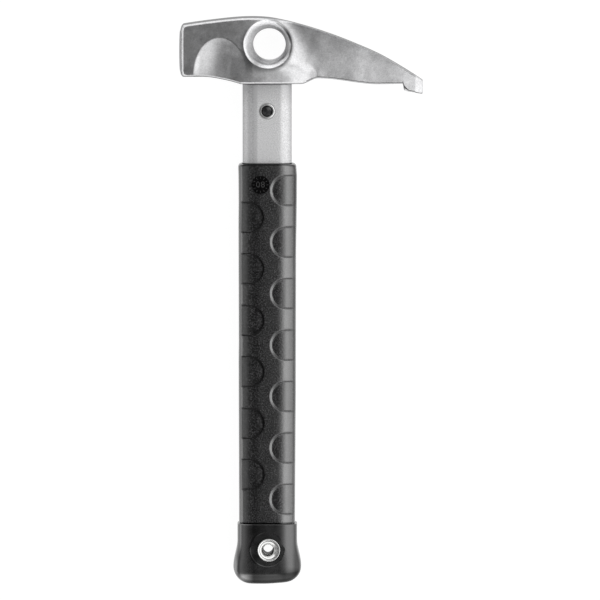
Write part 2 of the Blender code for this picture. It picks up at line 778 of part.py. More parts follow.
def main():
    clear_scene()
    parts = new_collection("piton_hammer")
    cutters = new_collection("cutters")
    frame = bpy.data.objects.new("handle_frame", None)
    frame.matrix_world = Matrix.Translation((HANDLE_X, HEAD_BASE_Y, HALF_THICKNESS))
    parts.objects.link(frame)
    make_head(parts, cutters, frame)
    make_tube(parts, cutters, frame)
    make_head_pin(parts, frame)
    make_grip(parts, cutters, frame)
    make_cap(parts, cutters, frame)
    make_plug(parts, cutters, frame)
    make_eyelets(parts, frame)
    bpy.context.view_layer.update()


main()
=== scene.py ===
# Looks for a piton hammer that lies on a pale floor: forged steel head, satin aluminium tube, rubber
# grip and butt cap, bright lanyard eyelets. Every piece is drawn in millimetres in the handle's own
# frame: x from the handle's centre line, y above the underside of the head, z from the middle of the
# thickness. drawn() turns that into metres in the row frame.

import math

import bmesh
import bpy
from mathutils import Matrix, Vector


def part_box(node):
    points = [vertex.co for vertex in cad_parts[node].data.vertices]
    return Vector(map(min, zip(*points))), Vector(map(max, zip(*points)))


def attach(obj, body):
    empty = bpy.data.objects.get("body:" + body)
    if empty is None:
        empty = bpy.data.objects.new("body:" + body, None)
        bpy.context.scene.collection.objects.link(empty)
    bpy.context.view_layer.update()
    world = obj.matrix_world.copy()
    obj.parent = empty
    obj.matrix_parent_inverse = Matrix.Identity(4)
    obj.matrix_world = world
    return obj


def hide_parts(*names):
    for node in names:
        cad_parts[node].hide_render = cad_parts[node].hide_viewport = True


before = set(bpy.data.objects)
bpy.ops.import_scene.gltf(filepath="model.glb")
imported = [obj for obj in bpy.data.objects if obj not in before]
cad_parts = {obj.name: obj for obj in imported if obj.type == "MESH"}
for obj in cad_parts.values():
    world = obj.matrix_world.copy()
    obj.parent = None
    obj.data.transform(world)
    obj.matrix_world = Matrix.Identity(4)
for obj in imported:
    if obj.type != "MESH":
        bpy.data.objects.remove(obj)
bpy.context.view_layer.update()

mm = 0.001
fitGap = 0.3  # left between pieces that touch
beyond = 4.0  # how far a cutter reaches past what it cuts
headLow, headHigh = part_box("hammer_head")
tubeLow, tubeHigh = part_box("handle_tube")
gripLow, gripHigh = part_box("grip_sleeve")
capLow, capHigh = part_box("end_cap")
pinLow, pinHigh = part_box("head_pin")
eyeletLow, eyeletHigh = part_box("eyelet_front")
handleX = (tubeLow.x + tubeHigh.x) / 2
middleZ = (headLow.z + headHigh.z) / 2
headBase = tubeHigh.y + fitGap * mm
toRow = Matrix.Translation((handleX, headBase, middleZ)) @ Matrix.Scale(mm, 4)
toLocal = toRow.inverted()


def localY(value):
    return (value - headBase) / mm


def halfSize(low, high):
    return (high.x - low.x) / 2 / mm, (high.z - low.z) / 2 / mm


tubeWide, tubeDeep = halfSize(tubeLow, tubeHigh)
capWide, capDeep = halfSize(capLow, capHigh)
gripDeep = halfSize(gripLow, gripHigh)[1]
gripTop, gripButt = localY(gripHigh.y), localY(gripLow.y)
pinMiddle = localY((pinLow.y + pinHigh.y) / 2)
eyeletMiddle = localY((eyeletLow.y + eyeletHigh.y) / 2)


# Small shaping helpers


def mix(a, b, t):
    return a + (b - a) * t


def ease(t):
    t = min(max(t, 0.0), 1.0)
    return t * t * (3 - 2 * t)


def smoothTop(a, b, blend):
    # The higher of two surfaces, with their crease rounded over blend
    h = min(max(0.5 + 0.5 * (a - b) / blend, 0.0), 1.0)
    return mix(b, a, h) + blend * h * (1 - h)


def alongKnots(knots, x):
    # A smooth line through knots of (place, height, slope)
    for (x0, y0, m0), (x1, y1, m1) in zip(knots, knots[1:]):
        if x <= x1:
            break
    span = x1 - x0
    t = min(max((x - x0) / span, 0.0), 1.0)
    return (
        (2 * t**3 - 3 * t**2 + 1) * y0
        + (t**3 - 2 * t**2 + t) * span * m0
        + (3 * t**2 - 2 * t**3) * y1
        + (t**3 - t**2) * span * m1
    )


def softKnots(steps):
    # Gives plain (place, value) pairs the slopes of a soft line through them
    slopes = []
    for i in range(len(steps)):
        (x0, y0), (x1, y1) = steps[max(i - 1, 0)], steps[min(i + 1, len(steps) - 1)]
        slopes.append((y1 - y0) / (x1 - x0))
    return [(x, y, slope) for (x, y), slope in zip(steps, slopes)]


def alongSteps(steps, x):
    # Straight lines between (place, value) pairs
    for (x0, y0), (x1, y1) in zip(steps, steps[1:]):
        if x <= x1:
            break
    return mix(y0, y1, min(max((x - x0) / (x1 - x0), 0.0), 1.0))


def spaced(start, end, step):
    count = max(1, round(abs(end - start) / step))
    return [mix(start, end, i / count) for i in range(count)]


def roundedEdge(radius, steps):
    # (drop, inset) pairs round the edge of an end
    angles = (math.pi / 2 * k / steps for k in range(steps))
    return [(radius * (1 - math.cos(a)), radius * (1 - math.sin(a))) for a in angles]


def roundedBox(halfA, halfB, radius, cornerSteps, sideStep):
    # Points round a rectangle with rounded corners, anticlockwise, with points along its sides too
    points = []
    for quarter in range(4):
        sideA = 1 if quarter in (0, 3) else -1
        sideB = 1 if quarter in (0, 1) else -1
        for step in range(cornerSteps + 1):
            angle = math.pi / 2 * (quarter + step / cornerSteps)
            a = sideA * (halfA - radius) + radius * math.cos(angle)
            points.append((a, sideB * (halfB - radius) + radius * math.sin(angle)))
        length = 2 * ((halfA if quarter % 2 == 0 else halfB) - radius)
        count = max(1, round(length / sideStep))
        a, b = points[-1]
        stepA, stepB = ((-length, 0), (0, -length), (length, 0), (0, length))[quarter]
        for i in range(1, count):
            points.append((a + stepA * i / count, b + stepB * i / count))
    return points


def slowBox(halfA, halfB, power, stepsA, stepsB):
    # A box with no straight side, whose curve quickens towards the corners
    turn = 0.5 ** (1 / power)
    quarter = []
    for k in range(stepsA):
        share = turn * k / stepsA
        quarter.append((share, (1 - share**power) ** (1 / power)))
    for k in range(stepsB + 1):
        share = turn * (1 - k / stepsB)
        quarter.append(((1 - share**power) ** (1 / power), share))
    half = quarter + [(a, -b) for a, b in quarter[-2::-1]]
    points = half + [(-a, b) for a, b in half[-2:0:-1]]
    return [(a * halfA, b * halfB) for a, b in points]


# Mesh helpers: all of them take millimetres


def skin(rings):
    bm = bmesh.new()
    loops = [[bm.verts.new(point) for point in ring] for ring in rings]
    for near, far in zip(loops, loops[1:]):
        for i in range(len(near)):
            j = (i + 1) % len(near)
            bm.faces.new((near[i], near[j], far[j], far[i]))
    bm.faces.new(loops[0])
    bm.faces.new(loops[-1])
    bmesh.ops.recalc_face_normals(bm, faces=bm.faces)
    return bm


def turned(profile, steps, centre=(0.0, 0.0), lean=None):
    # A closed profile of (radius, height) turned about z. lean(height) slides a ring sideways.
    bm = bmesh.new()
    rings = []
    for radius, height in profile:
        slideX, slideY = lean(height) if lean else (0.0, 0.0)
        midX, midY = centre[0] + slideX, centre[1] + slideY
        angles = [math.tau * i / steps for i in range(steps)] if radius > 1e-6 else [0.0]
        ring = [(midX + radius * math.cos(a), midY + radius * math.sin(a), height) for a in angles]
        rings.append([bm.verts.new(point) for point in ring])
    for near, far in zip(rings, rings[1:] + rings[:1]):
        for i in range(steps if len(near) + len(far) > 2 else 0):
            j = (i + 1) % steps
            corners = (near[i], near[j]) if len(near) > 1 else (near[0],)
            corners += (far[j], far[i]) if len(far) > 1 else (far[0],)
            bm.faces.new(corners)
    bmesh.ops.recalc_face_normals(bm, faces=bm.faces)
    return bm


def bothSides(profile, past=None):
    # A profile for the upper half, from outside in, carried on below the middle, and closed along the
    # axis past its ends where it is a cutter
    whole = profile + [(radius, -height) for radius, height in reversed(profile)]
    return whole if past is None else whole + [(0.0, -past), (0.0, past)]


def drawn(name, bm, place=toRow):
    bm.transform(place)
    mesh = bpy.data.meshes.new(name)
    bm.to_mesh(mesh)
    bm.free()
    obj = bpy.data.objects.new(name, mesh)
    bpy.context.scene.collection.objects.link(obj)
    return obj


def settledMesh(obj):
    bpy.context.view_layer.update()
    evaluated = obj.evaluated_get(bpy.context.evaluated_depsgraph_get())
    return bpy.data.meshes.new_from_object(evaluated)


def settle(obj):
    # Turns the object's modifiers into plain mesh
    mesh = settledMesh(obj)
    mesh.name = obj.name
    obj.modifiers.clear()
    obj.data = mesh


def carve(obj, name, bm, operation="DIFFERENCE"):
    cutter = drawn(name, bm)
    modifier = obj.modifiers.new(name, "BOOLEAN")
    modifier.operation = operation
    modifier.object = cutter
    modifier.solver = "EXACT"
    settle(obj)
    bpy.data.objects.remove(cutter)


def paint(obj, material):
    mesh = obj.data
    mesh.materials.clear()
    mesh.materials.append(material)
    mesh.polygons.foreach_set("material_index", [0] * len(mesh.polygons))
    print(f"{obj.name}: {len(mesh.polygons)} faces")


def finishPiece(obj, node, material, sharpAngle=35):
    paint(obj, material)
    obj.data.shade_smooth()
    obj.data.set_sharp_from_angle(angle=math.radians(sharpAngle))
    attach(obj, "root")
    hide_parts(node)


# Node helpers


class Nodes:
    # Short ways to add and join nodes in one tree
    def __init__(self, tree):
        self.tree = tree

    def give(self, value, socket):
        if isinstance(value, bpy.types.NodeSocket):
            self.tree.links.new(value, socket)
        else:
            socket.default_value = value

    def node(self, kind, inputs=None, **settings):
        made = self.tree.nodes.new(kind)
        for key, value in settings.items():
            setattr(made, key, value)
        for name, value in (inputs or {}).items():
            self.give(value, made.inputs[name])
        return made

    def maths(self, operation, *values):
        made = self.node("ShaderNodeMath", operation=operation)
        for value, socket in zip(values, made.inputs):
            self.give(value, socket)
        return made.outputs["Value"]

    def span(self, value, fromLow, fromHigh, toLow, toHigh, smooth=False):
        ends = {"From Min": fromLow, "From Max": fromHigh, "To Min": toLow, "To Max": toHigh}
        kind = "SMOOTHSTEP" if smooth else "LINEAR"
        made = self.node("ShaderNodeMapRange", {"Value": value, **ends}, interpolation_type=kind)
        return made.outputs["Result"]

    def split(self, vector):
        return self.node("ShaderNodeSeparateXYZ", {"Vector": vector}).outputs


class Finish(Nodes):
    def __init__(self, name, metallic=0.0):
        self.material = bpy.data.materials.new(name)
        self.material.use_nodes = True
        super().__init__(self.material.node_tree)
        self.shader = self.tree.nodes["Principled BSDF"].inputs
        self.shader["Metallic"].default_value = metallic
        self.place = self.node("ShaderNodeTexCoord").outputs["Object"]

    def noise(self, size, detail=3.0, rough=0.55):
        # size is the width of the pattern's grains in millimetres
        sizes = {"Scale": 1 / (size * mm), "Detail": detail, "Roughness": rough}
        return self.node("ShaderNodeTexNoise", {"Vector": self.place, **sizes}).outputs["Fac"]

    def attribute(self, name):
        return self.node("ShaderNodeAttribute", attribute_name=name).outputs["Fac"]

    def tint(self, factor, low, high):
        made = self.node("ShaderNodeMix", {"Factor": factor}, data_type="RGBA")
        sockets = [socket for socket in made.inputs if socket.type == "RGBA"]
        for colour, socket in zip((low, high), sockets):
            self.give((*colour, 1.0) if isinstance(colour, tuple) else colour, socket)
        return next(socket for socket in made.outputs if socket.type == "RGBA")

    def follow(self, pattern, low, high):
        # A value that follows a noise pattern over its usual range
        return self.span(pattern, 0.3, 0.7, low, high)

    def speckled(self, pattern, low, high):
        return self.tint(self.follow(pattern, 0.0, 1.0), low, high)

    def bump(self, height, distance, strength, **under):
        sizes = {"Strength": strength, "Distance": distance * mm}
        return self.node("ShaderNodeBump", {"Height": height, **sizes, **under}).outputs["Normal"]

    def wear(self, colour, roughness, normal=None):
        for name, value in (("Base Color", colour), ("Roughness", roughness), ("Normal", normal)):
            if value is not None:
                self.give(value, self.shader[name])
        return self.material


# Finishes


def forgedSteel():
    # Blasted forging: its brightness comes from the head's own tone attribute, clouded and grained.
    # That attribute holds painted light and shade on top of the steel's own brightness
    finish = Finish("forgedSteelFinish", metallic=1.0)
    toneAndPaintedLight = finish.attribute("toneAndPaintedLight")
    cloud = finish.noise(5.0, detail=5.0, rough=0.6)
    speck = finish.noise(0.6, detail=2.0, rough=0.8)
    grain = finish.noise(1.3, detail=3.0, rough=0.7)
    shade = toneAndPaintedLight
    for pattern, low, high in ((cloud, 0.90, 1.09), (speck, 0.84, 1.15), (grain, 0.92, 1.08)):
        shade = finish.maths("MULTIPLY", shade, finish.follow(pattern, low, high))
    channels = {"Red": shade, "Green": shade, "Blue": finish.maths("MULTIPLY", shade, 1.012)}
    colour = finish.node("ShaderNodeCombineColor", channels).outputs["Color"]
    rough = finish.follow(cloud, 0.28, 0.35)
    rough = finish.maths("ADD", rough, finish.span(toneAndPaintedLight, 0.6, 0.85, 0.0, 0.16))
    low = finish.bump(grain, 0.03, 0.25)
    finish.shader["Specular Tint"].default_value = (0.35, 0.35, 0.35, 1.0)
    return finish.wear(colour, rough, finish.bump(speck, 0.02, 0.35, Normal=low))


def satinAluminium():
    # Painted shade near the head and in bands along both sides, a dark painted line of shade and
    # reflected rubber right where the grip begins, and round the pin painted shade just outside the
    # rim and, on the rim, a painted highlight on the beak side and painted shade on the face side
    finish = Finish("satinAluminiumFinish", metallic=1.0)
    speck = finish.noise(0.5, detail=2.0, rough=0.75)
    cloud = finish.noise(9.0, detail=3.0)
    place = finish.split(finish.place)
    across, along = place["X"], place["Y"]

    def band(start, end, low, high):
        # A soft step across the tube, in millimetres from its centre line
        return finish.span(across, handleX + start * mm, handleX + end * mm, low, high, smooth=True)

    # Painted shade: darker towards the head
    paintedShadeNearHead = finish.span(along, headBase - 14.0 * mm, headBase, 0.0, 0.5, smooth=True)
    # Painted shade in bands along the face side and the beak side
    faceSide = finish.maths("ADD", band(-12.0, -9.8, 0.35, -0.3), band(-8.4, -6.4, 0.0, 0.75))
    faceSide = finish.maths("MULTIPLY", faceSide, band(-5.6, -4.5, 1.0, 0.0))
    paintedShade = finish.maths("ADD", faceSide, band(6.8, 8.8, 0.0, 0.22))
    fleck = finish.maths("SUBTRACT", finish.follow(speck, 0.0, 1.2), paintedShadeNearHead)
    colour = finish.tint(finish.maths("SUBTRACT", fleck, paintedShade), (0.50, 0.50, 0.505), (0.80, 0.80, 0.805))
    # Painted shade and reflection of the rubber: a dark line where the grip begins
    paintedShadeAtGrip = finish.span(along, gripHigh.y + 0.1 * mm, gripHigh.y + 0.75 * mm, 1.0, 0.0, smooth=True)
    colour = finish.tint(paintedShadeAtGrip, colour, (0.012, 0.012, 0.012))
    aside = finish.maths("SUBTRACT", across, handleX)
    drop = finish.maths("SUBTRACT", along, (pinLow.y + pinHigh.y) / 2 - tube["holeShift"] * mm)
    squares = (finish.maths("MULTIPLY", length, length) for length in (aside, drop))
    fromHole = finish.maths("POWER", finish.maths("ADD", *squares), 0.5)
    # Painted shade just outside the pin's rim, and on the rim painted light and shade
    rim = tube["rimRadius"] * mm
    paintedShadeRoundRim = finish.span(fromHole, rim + 0.05 * mm, rim + 0.55 * mm, 1.0, 0.0)
    paintedLightOnRim = finish.span(fromHole, rim - 0.25 * mm, rim - 0.05 * mm, 1.0, 0.0)
    colour = finish.tint(paintedShadeRoundRim, colour, (0.38, 0.38, 0.38))
    toBeak = finish.span(aside, -0.5 * mm, 2.4 * mm, 0.0, 1.0)
    colour = finish.tint(paintedLightOnRim, colour, finish.tint(toBeak, (0.26, 0.26, 0.26), (0.90, 0.90, 0.90)))
    rough = finish.follow(cloud, 0.52, 0.58)
    rough = finish.maths("SUBTRACT", rough, finish.maths("MULTIPLY", paintedLightOnRim, 0.24))
    finish.shader["Specular Tint"].default_value = (0.35, 0.35, 0.35, 1.0)
    return finish.wear(colour, rough, finish.bump(speck, 0.02, 0.5))


def paintedSheened(finish):
    # The mesh's own sheen attribute says how glossy the rubber is, point by point. Its values are
    # painted highlights and shade, and what this returns lets the rubber's colour follow them too
    paintedSheen = finish.attribute("paintedSheen")
    finish.give(paintedSheen, finish.shader["Specular IOR Level"])
    return finish.span(paintedSheen, 0.0, 0.25, 0.0, 1.0)


def gripRubber():
    # Moulded rubber with a fine leathery grain, whose flecks show only where the painted gloss is high
    finish = Finish("gripRubberFinish")
    cells = {"Vector": finish.place, "Scale": 1 / (0.9 * mm)}
    grain = finish.node("ShaderNodeTexVoronoi", cells, feature="SMOOTH_F1").outputs["Distance"]
    fleck = finish.noise(0.8, detail=2.0, rough=0.85)
    dust = finish.noise(6.0, detail=3.0)
    flecksAndPaintedSheen = finish.maths("MULTIPLY", finish.span(fleck, 0.47, 0.64, 0.0, 1.0), paintedSheened(finish))
    colour = finish.tint(flecksAndPaintedSheen, (0.0015, 0.0015, 0.0016), (0.046, 0.046, 0.047))
    rough = finish.follow(dust, 0.20, 0.27)
    finish.shader["IOR"].default_value = 2.25
    return finish.wear(colour, rough, finish.bump(finish.maths("MULTIPLY", grain, fleck), 0.08, 0.5))


def capRubber():
    finish = Finish("capRubberFinish")
    dust = finish.noise(5.0, detail=4.0, rough=0.6)
    speck = finish.noise(0.35, detail=2.0)
    # Dust shows only where the painted gloss is high, so it lightens the painted highlights
    dustAndPaintedSheen = finish.maths("MULTIPLY", finish.span(dust, 0.35, 0.7, 0.0, 1.0), paintedSheened(finish))
    colour = finish.tint(dustAndPaintedSheen, (0.002, 0.002, 0.0021), (0.009, 0.009, 0.0095))
    finish.shader["IOR"].default_value = 2.2
    return finish.wear(colour, finish.follow(dust, 0.19, 0.25), finish.bump(speck, 0.01, 0.3))


def dialInk():
    finish = Finish("dialMarksFinish")
    speck = finish.noise(0.4, detail=2.0)
    colour = finish.speckled(speck, (0.014, 0.014, 0.014), (0.042, 0.042, 0.042))
    return finish.wear(colour, finish.follow(speck, 0.35, 0.5))


def nickelPlate():
    finish = Finish("nickelPlateFinish", metallic=1.0)
    smear = finish.noise(1.5, detail=3.0)
    colour = finish.speckled(smear, (0.66, 0.66, 0.655), (0.80, 0.80, 0.79))
    return finish.wear(colour, finish.follow(smear, 0.20, 0.30), finish.bump(smear, 0.02, 0.2))


def blackSteel():
    finish = Finish("blackSteelFinish", metallic=0.8)
    speck = finish.noise(0.5, detail=3.0)
    patch = finish.noise(3.4, detail=2.0)
    colour = finish.speckled(speck, (0.018, 0.018, 0.019), (0.05, 0.05, 0.052))
    colour = finish.tint(finish.span(patch, 0.48, 0.66, 0.0, 1.0), colour, (0.14, 0.14, 0.142))
    return finish.wear(colour, finish.follow(speck, 0.34, 0.5), finish.bump(speck, 0.03, 0.4))


def blackNylon():
    finish = Finish("blackNylonFinish")
    speck = finish.noise(0.6, detail=3.0)
    colour = finish.speckled(speck, (0.012, 0.012, 0.013), (0.024, 0.024, 0.025))
    return finish.wear(colour, finish.follow(speck, 0.42, 0.55), finish.bump(speck, 0.02, 0.3))


# Head: a skin over sections from the striking face to the tip, with both cheeks shaped point by point.
# Lines are (x, y, slope) knots, widths and tones are (place, value) pairs.

head = {
    "face": -44.6,
    "tip": 79.1,
    "half": 12.5,
    "topLine": [
        (-44.9, 29.75, 0.16), (-26.0, 32.4, 0.115), (-8.0, 33.8, 0.0), (10.5, 31.8, -0.24),
        (45.2, 20.3, -0.42), (60.0, 13.55, -0.545), (79.1, 1.9, -0.65),
    ],
    "bottomLine": [
        (-44.9, 3.75, 0.0), (-33.0, 3.75, -0.03), (-24.5, 2.72, -0.2), (-13.2, -0.1, -0.33),
        (-12.9, 0.0, 0.0), (17.2, 0.0, 0.0), (26.0, 2.65, 0.0), (52.0, -0.2, -0.08), (57.0, -0.4, 0.0),
        (68.9, -0.2, 0.0), (69.5, -2.9, -3.0), (70.4, -3.75, -0.3), (75.5, -4.7, -0.25),
        (79.1, -5.3, -0.1),
    ],
    "topChamfer": [(-44.9, 1.1), (6.0, 1.1), (14.0, 0.4), (50.0, 0.5), (62.0, 1.0), (79.1, 1.1)],
    "bottomChamfer": [
        (-44.9, 1.0), (16.0, 1.0), (24.0, 0.8), (68.8, 0.8), (69.4, 2.7), (70.6, 1.7), (72.2, 0.8),
        (79.1, 0.6),
    ],
    "chamferDrop": 0.9,
    "chamferRound": 0.35,
    "wallSwell": 0.15,
    "crownSag": 0.4,
    "panelCorner": 1.7,
    "faceBorder": 4.5,
    "faceEdge": 0.85,
    "faceBevelLength": 0.95,
    "faceBevelRise": 1.15,
    "faceCrown": 0.35,
    "beakRoot": 4.2,
    "beakTip": 3.5,
    "tipBevelLength": 3.6,
    "tipBevelDepth": 2.0,
    # Where the shoulder beside the eye falls to the beak, and over what length, by height
    "slopeMiddle": [
        (0.0, 19.0), (4.0, 17.3), (8.0, 13.4), (11.0, 10.3), (17.0, 7.7), (23.0, 4.7), (30.0, 3.6),
        (33.0, 4.6),
    ],
    "slopeReach": [(0.0, 1.7), (4.0, 2.1), (8.0, 2.8), (11.0, 3.3), (17.0, 3.5), (24.0, 3.4), (31.0, 1.7)],
    # How deep the saddle under the eye is along x, drawn out to where it ends by height
    "lowLine": [
        (-18.0, 0.5, 0.0), (-8.0, 0.5, 0.0), (-1.7, 0.62, 0.045), (7.5, 1.12, 0.07), (16.7, 3.3, 0.42),
        (24.1, 8.2, 0.78), (32.0, 14.4, 0.78),
    ],
    "lowStart": 6.0,
    "lowEnd": [(0.0, 24.3), (4.0, 23.4), (8.0, 21.2), (12.0, 19.8)],
    "fineStep": 0.36,
    "coarseStep": 0.8,
    "hookStep": 0.14,
    "cheekRows": 92,
    "tangInset": 1.8,
    "tangTop": 4.5,
    "tangCorner": 4.4,
    "tangChamfer": 1.5,
    "pinHole": 3.3,
}
scoop = {
    "x": -23.9,
    "y": 4.7,
    "halfWidth": 13.3,
    "height": 19.0,
    "depth": 2.45,
    "bowl": 2.6,
    "soften": 0.05,
}
saddle = {"depth": 1.2, "top": 14.5, "fade": 8.0, "soften": 2.6}
eye = {
    "x": 1.88,
    "y": 19.65,
    "bore": 8.3,
    "boreEdge": 8.6,
    "flare": 11.3,
    "flareBend": 1.15,
    "flareSteps": 8,
    "mouth": 12.1,
    "mouthDepth": 0.6,
    "lean": (-1.58, 0.75),
    "lip": 12.5,
    "lipEdge": 0.2,
    "proud": 0.06,
    "steps": 160,
}
for line in ("slopeMiddle", "slopeReach", "lowEnd"):
    head[line] = softKnots(head[line])


def headTop(x):
    return alongKnots(head["topLine"], x)


def headBottom(x):
    return alongKnots(head["bottomLine"], x)


def scoopDepth(x, y):
    across = (x - scoop["x"]) / scoop["halfWidth"]
    up = max(y - scoop["y"], 0.0) / scoop["height"]
    return scoop["depth"] * (1 - math.hypot(across, up) ** scoop["bowl"])


def cheekHeight(x, y):
    # Height of a cheek above the middle of the thickness
    start = head["lowStart"]
    furthest = head["lowLine"][-2][0]
    stretch = (furthest - start) / (alongKnots(head["lowEnd"], y) - start)
    lowDepth = alongKnots(head["lowLine"], max(x - start, 0.0) * stretch + min(x, start))
    saddleDepth = min(lowDepth, saddle["depth"]) * ease((saddle["top"] - y) / saddle["fade"])
    saddleDepth *= ease((x + 30.0) / 12.0)
    # The scoop's edge is crisp on the face side and fades out under the eye
    fading = ease((x + 26.0) / 8.0) * ease((19.0 - y) / 7.0)
    soften = mix(scoop["soften"], saddle["soften"], fading)
    level = head["half"] - max(smoothTop(scoopDepth(x, y), saddleDepth, soften), 0.0)
    beak = mix(head["beakRoot"], head["beakTip"], min(max((x - 27.0) / 48.7, 0.0), 1.0))
    fall = (x - alongKnots(head["slopeMiddle"], y)) / alongKnots(head["slopeReach"], y)
    if x > -8.0:
        upper = beak + (level - beak) / (1 + math.exp(min(fall, 40.0)))
        lower = smoothTop(head["half"] - lowDepth, beak, mix(0.7, 2.8, ease((y - 2.0) / 5.0)))
        level = mix(upper, lower, ease((11.5 - y) / 8.0) * ease((x + 8.0) / 8.0))
    bevel = x - (head["tip"] - head["tipBevelLength"])
    if bevel > 0:
        level -= bevel * head["tipBevelDepth"] / head["tipBevelLength"]
    return level


def halfSection(x, inset, wallInset):
    # From the middle of the top wall over the upper cheek to the middle of the bottom wall
    high, low = headTop(x) - wallInset, headBottom(x) + wallInset
    topEdge = high - alongSteps(head["topChamfer"], x)
    lowEdge = low + alongSteps(head["bottomChamfer"], x)
    ends = []
    for wallY, edgeY, side in ((high, topEdge, 1), (low, lowEdge, -1)):
        cheek = cheekHeight(x, edgeY) - inset
        cut = abs(wallY - edgeY)
        drop = min(cut, head["chamferDrop"])
        corner = cheek - drop
        swell = head["wallSwell"] * min(1.0, corner / 11.0)
        part = [(wallY + side * swell * (1 - (k / 4) ** 2), corner * k / 4) for k in range(4)]
        for k in range(4):
            # A slightly rounded chamfer
            angle = math.pi / 2 * k / 4
            straight = mix(wallY, edgeY, k / 4), mix(corner, cheek, k / 4)
            arc = wallY - side * cut * (1 - math.cos(angle)), corner + drop * math.sin(angle)
            part.append(tuple(mix(a, b, head["chamferRound"]) for a, b in zip(straight, arc)))
        ends.append(part)
    rows = head["cheekRows"]
    heights = [mix(topEdge, lowEdge, i / rows) for i in range(rows + 1)]
    middle = [(y, cheekHeight(x, y) - inset) for y in heights]
    return ends[0] + middle + ends[1][::-1]


def headSection(x, inset=0.0, wallInset=None):
    front = halfSection(x, inset, inset if wallInset is None else wallInset)
    back = [(y, -z) for y, z in reversed(front[1:-1])]
    return [(x, y, z) for y, z in front + back]


def eyeProfile():
    # Outline of what is cut for the eye: a chamfered mouth, a rounded flare and a straight bore
    rim = head["half"] - eye["mouthDepth"]
    mouthSlope = (eye["mouth"] - eye["flare"]) / eye["mouthDepth"]
    profile = [(eye["mouth"] + beyond * mouthSlope, head["half"] + beyond), (eye["mouth"], head["half"])]
    # A small round leads from the mouth into the flare
    profile += [(eye["flare"] + 0.1, rim + 0.06), (eye["flare"] - 0.06, rim - 0.1)]
    for k in range(1, eye["flareSteps"] + 1):
        t = k / eye["flareSteps"]
        height = rim - (rim - eye["boreEdge"]) * t ** eye["flareBend"]
        profile.append((mix(eye["flare"], eye["bore"], t), height))
    return bothSides(profile, head["half"] + beyond)


def eyeLean(height):
    # The mouth sits off the bore's centre line
    share = ease((abs(height) - 5.0) / 7.5)
    return eye["lean"][0] * share, eye["lean"][1] * share


def lipLean(height):
    return eyeLean(head["half"])


# Tones of the head: how bright the steel is, partly its own brightness and mostly painted light
# and shade, with the bearings round the eye in degrees from +x

# Brightness of the cheek along x: partly the steel's own, partly painted light and shade
cheekTonesAndPaintedLight = [
    (-40.0, 0.39), (-24.0, 0.36), (-13.0, 0.42), (0.0, 0.58), (7.0, 0.53), (10.5, 0.50), (14.0, 0.60),
    (18.0, 0.58), (22.0, 0.54), (30.0, 0.65), (41.0, 0.66), (48.0, 0.80), (55.0, 0.76), (62.0, 0.71),
    (72.0, 0.88),
]
# Painted light and shade on the scoop's beak side, by height
paintedScoopBeakSide = [(4, 0.60), (7, 0.62), (9.5, 0.64), (14, 0.62), (16, 0.67), (18, 0.63), (20, 0.53)]
# Painted light and shade low on the cheek: (x, reach left, reach right, top, fade, strength)
paintedLowTouches = [
    (-9.4, 5.0, 3.4, 9.0, 5.0, 0.5),
    (10.5, 3.0, 3.0, 7.0, 4.0, -0.2),
    (23.4, 1.8, 1.8, 8.0, 3.0, -0.35),
    (27.5, 2.0, 2.0, 8.0, 3.0, 0.24),
]
# Painted light and shade round the eye, by bearing: the radius where a ring of painted shade starts, how
# dark and how wide it is, and the brightness of the flare, the mouth and the rim
paintedRingTones = {
    "edge": [
        (-90, 12.4), (-30, 12.3), (0, 11.5), (30, 11.0), (60, 11.0), (90, 12.4), (120, 12.4), (150, 11.9),
        (180, 12.4),
    ],
    "ringShade": [
        (-90, 0.45), (-60, 0.3), (-30, 0.22), (0, 0.18), (30, 0.34), (60, 0.6), (90, 1.1), (120, 1.3),
        (150, 0.7), (270, 0.45),
    ],
    "ringShadeWidth": [
        (-90, 2.6), (-60, 2.6), (-30, 1.9), (0, 2.1), (30, 2.6), (60, 0.8), (210, 2.2), (240, 5.0),
        (270, 2.6),
    ],
    "flare": [
        (-90, 1.0), (-60, 1.0), (-30, 0.68), (0, 0.62), (30, 0.7), (60, 0.5), (90, 0.4), (150, 0.46),
        (240, 0.6), (270, 1.0),
    ],
    "mouth": [
        (-90, 0.72), (-60, 0.72), (-40, 0.55), (0, 0.98), (90, 0.8), (120, 0.6), (180, 0.54), (210, 0.38),
        (240, 0.34), (270, 0.72),
    ],
    "rim": [(-90, 0.9), (0, 0.9), (90, 0.98), (150, 0.9), (210, 0.8), (240, 0.32), (270, 0.9)],
}
# Painted light and shade along the lower chamfer: where a stretch ends, where the brightness turns,
# and the brightness on both sides of it
paintedLowEdgeTones = [
    (-13.0, 0.4, 0.11, 0.44), (20.0, 0.4, 0.15, 0.58), (69.0, 0.7, 0.52, 0.18), (90.0, 0.7, 0.50, 0.10),
]
# Painted shade on the walls, in the seam under the head and on the tip's low edge, the brightness of the
# tip's bevel, and a painted highlight on the panel's corner
paintedEdgeTones = {"wall": 0.42, "underside": 0.12, "tip": 0.60, "tipLow": 0.10, "panelCorner": 0.95}
# Painted shade on the striking face and a painted highlight on its bevel, and where each lies
paintedFaceTones = {"face": 0.46, "bevel": 0.85, "bevelStart": 1.0, "bevelEnd": 2.1, "panel": 2.2, "corner": 2.4}


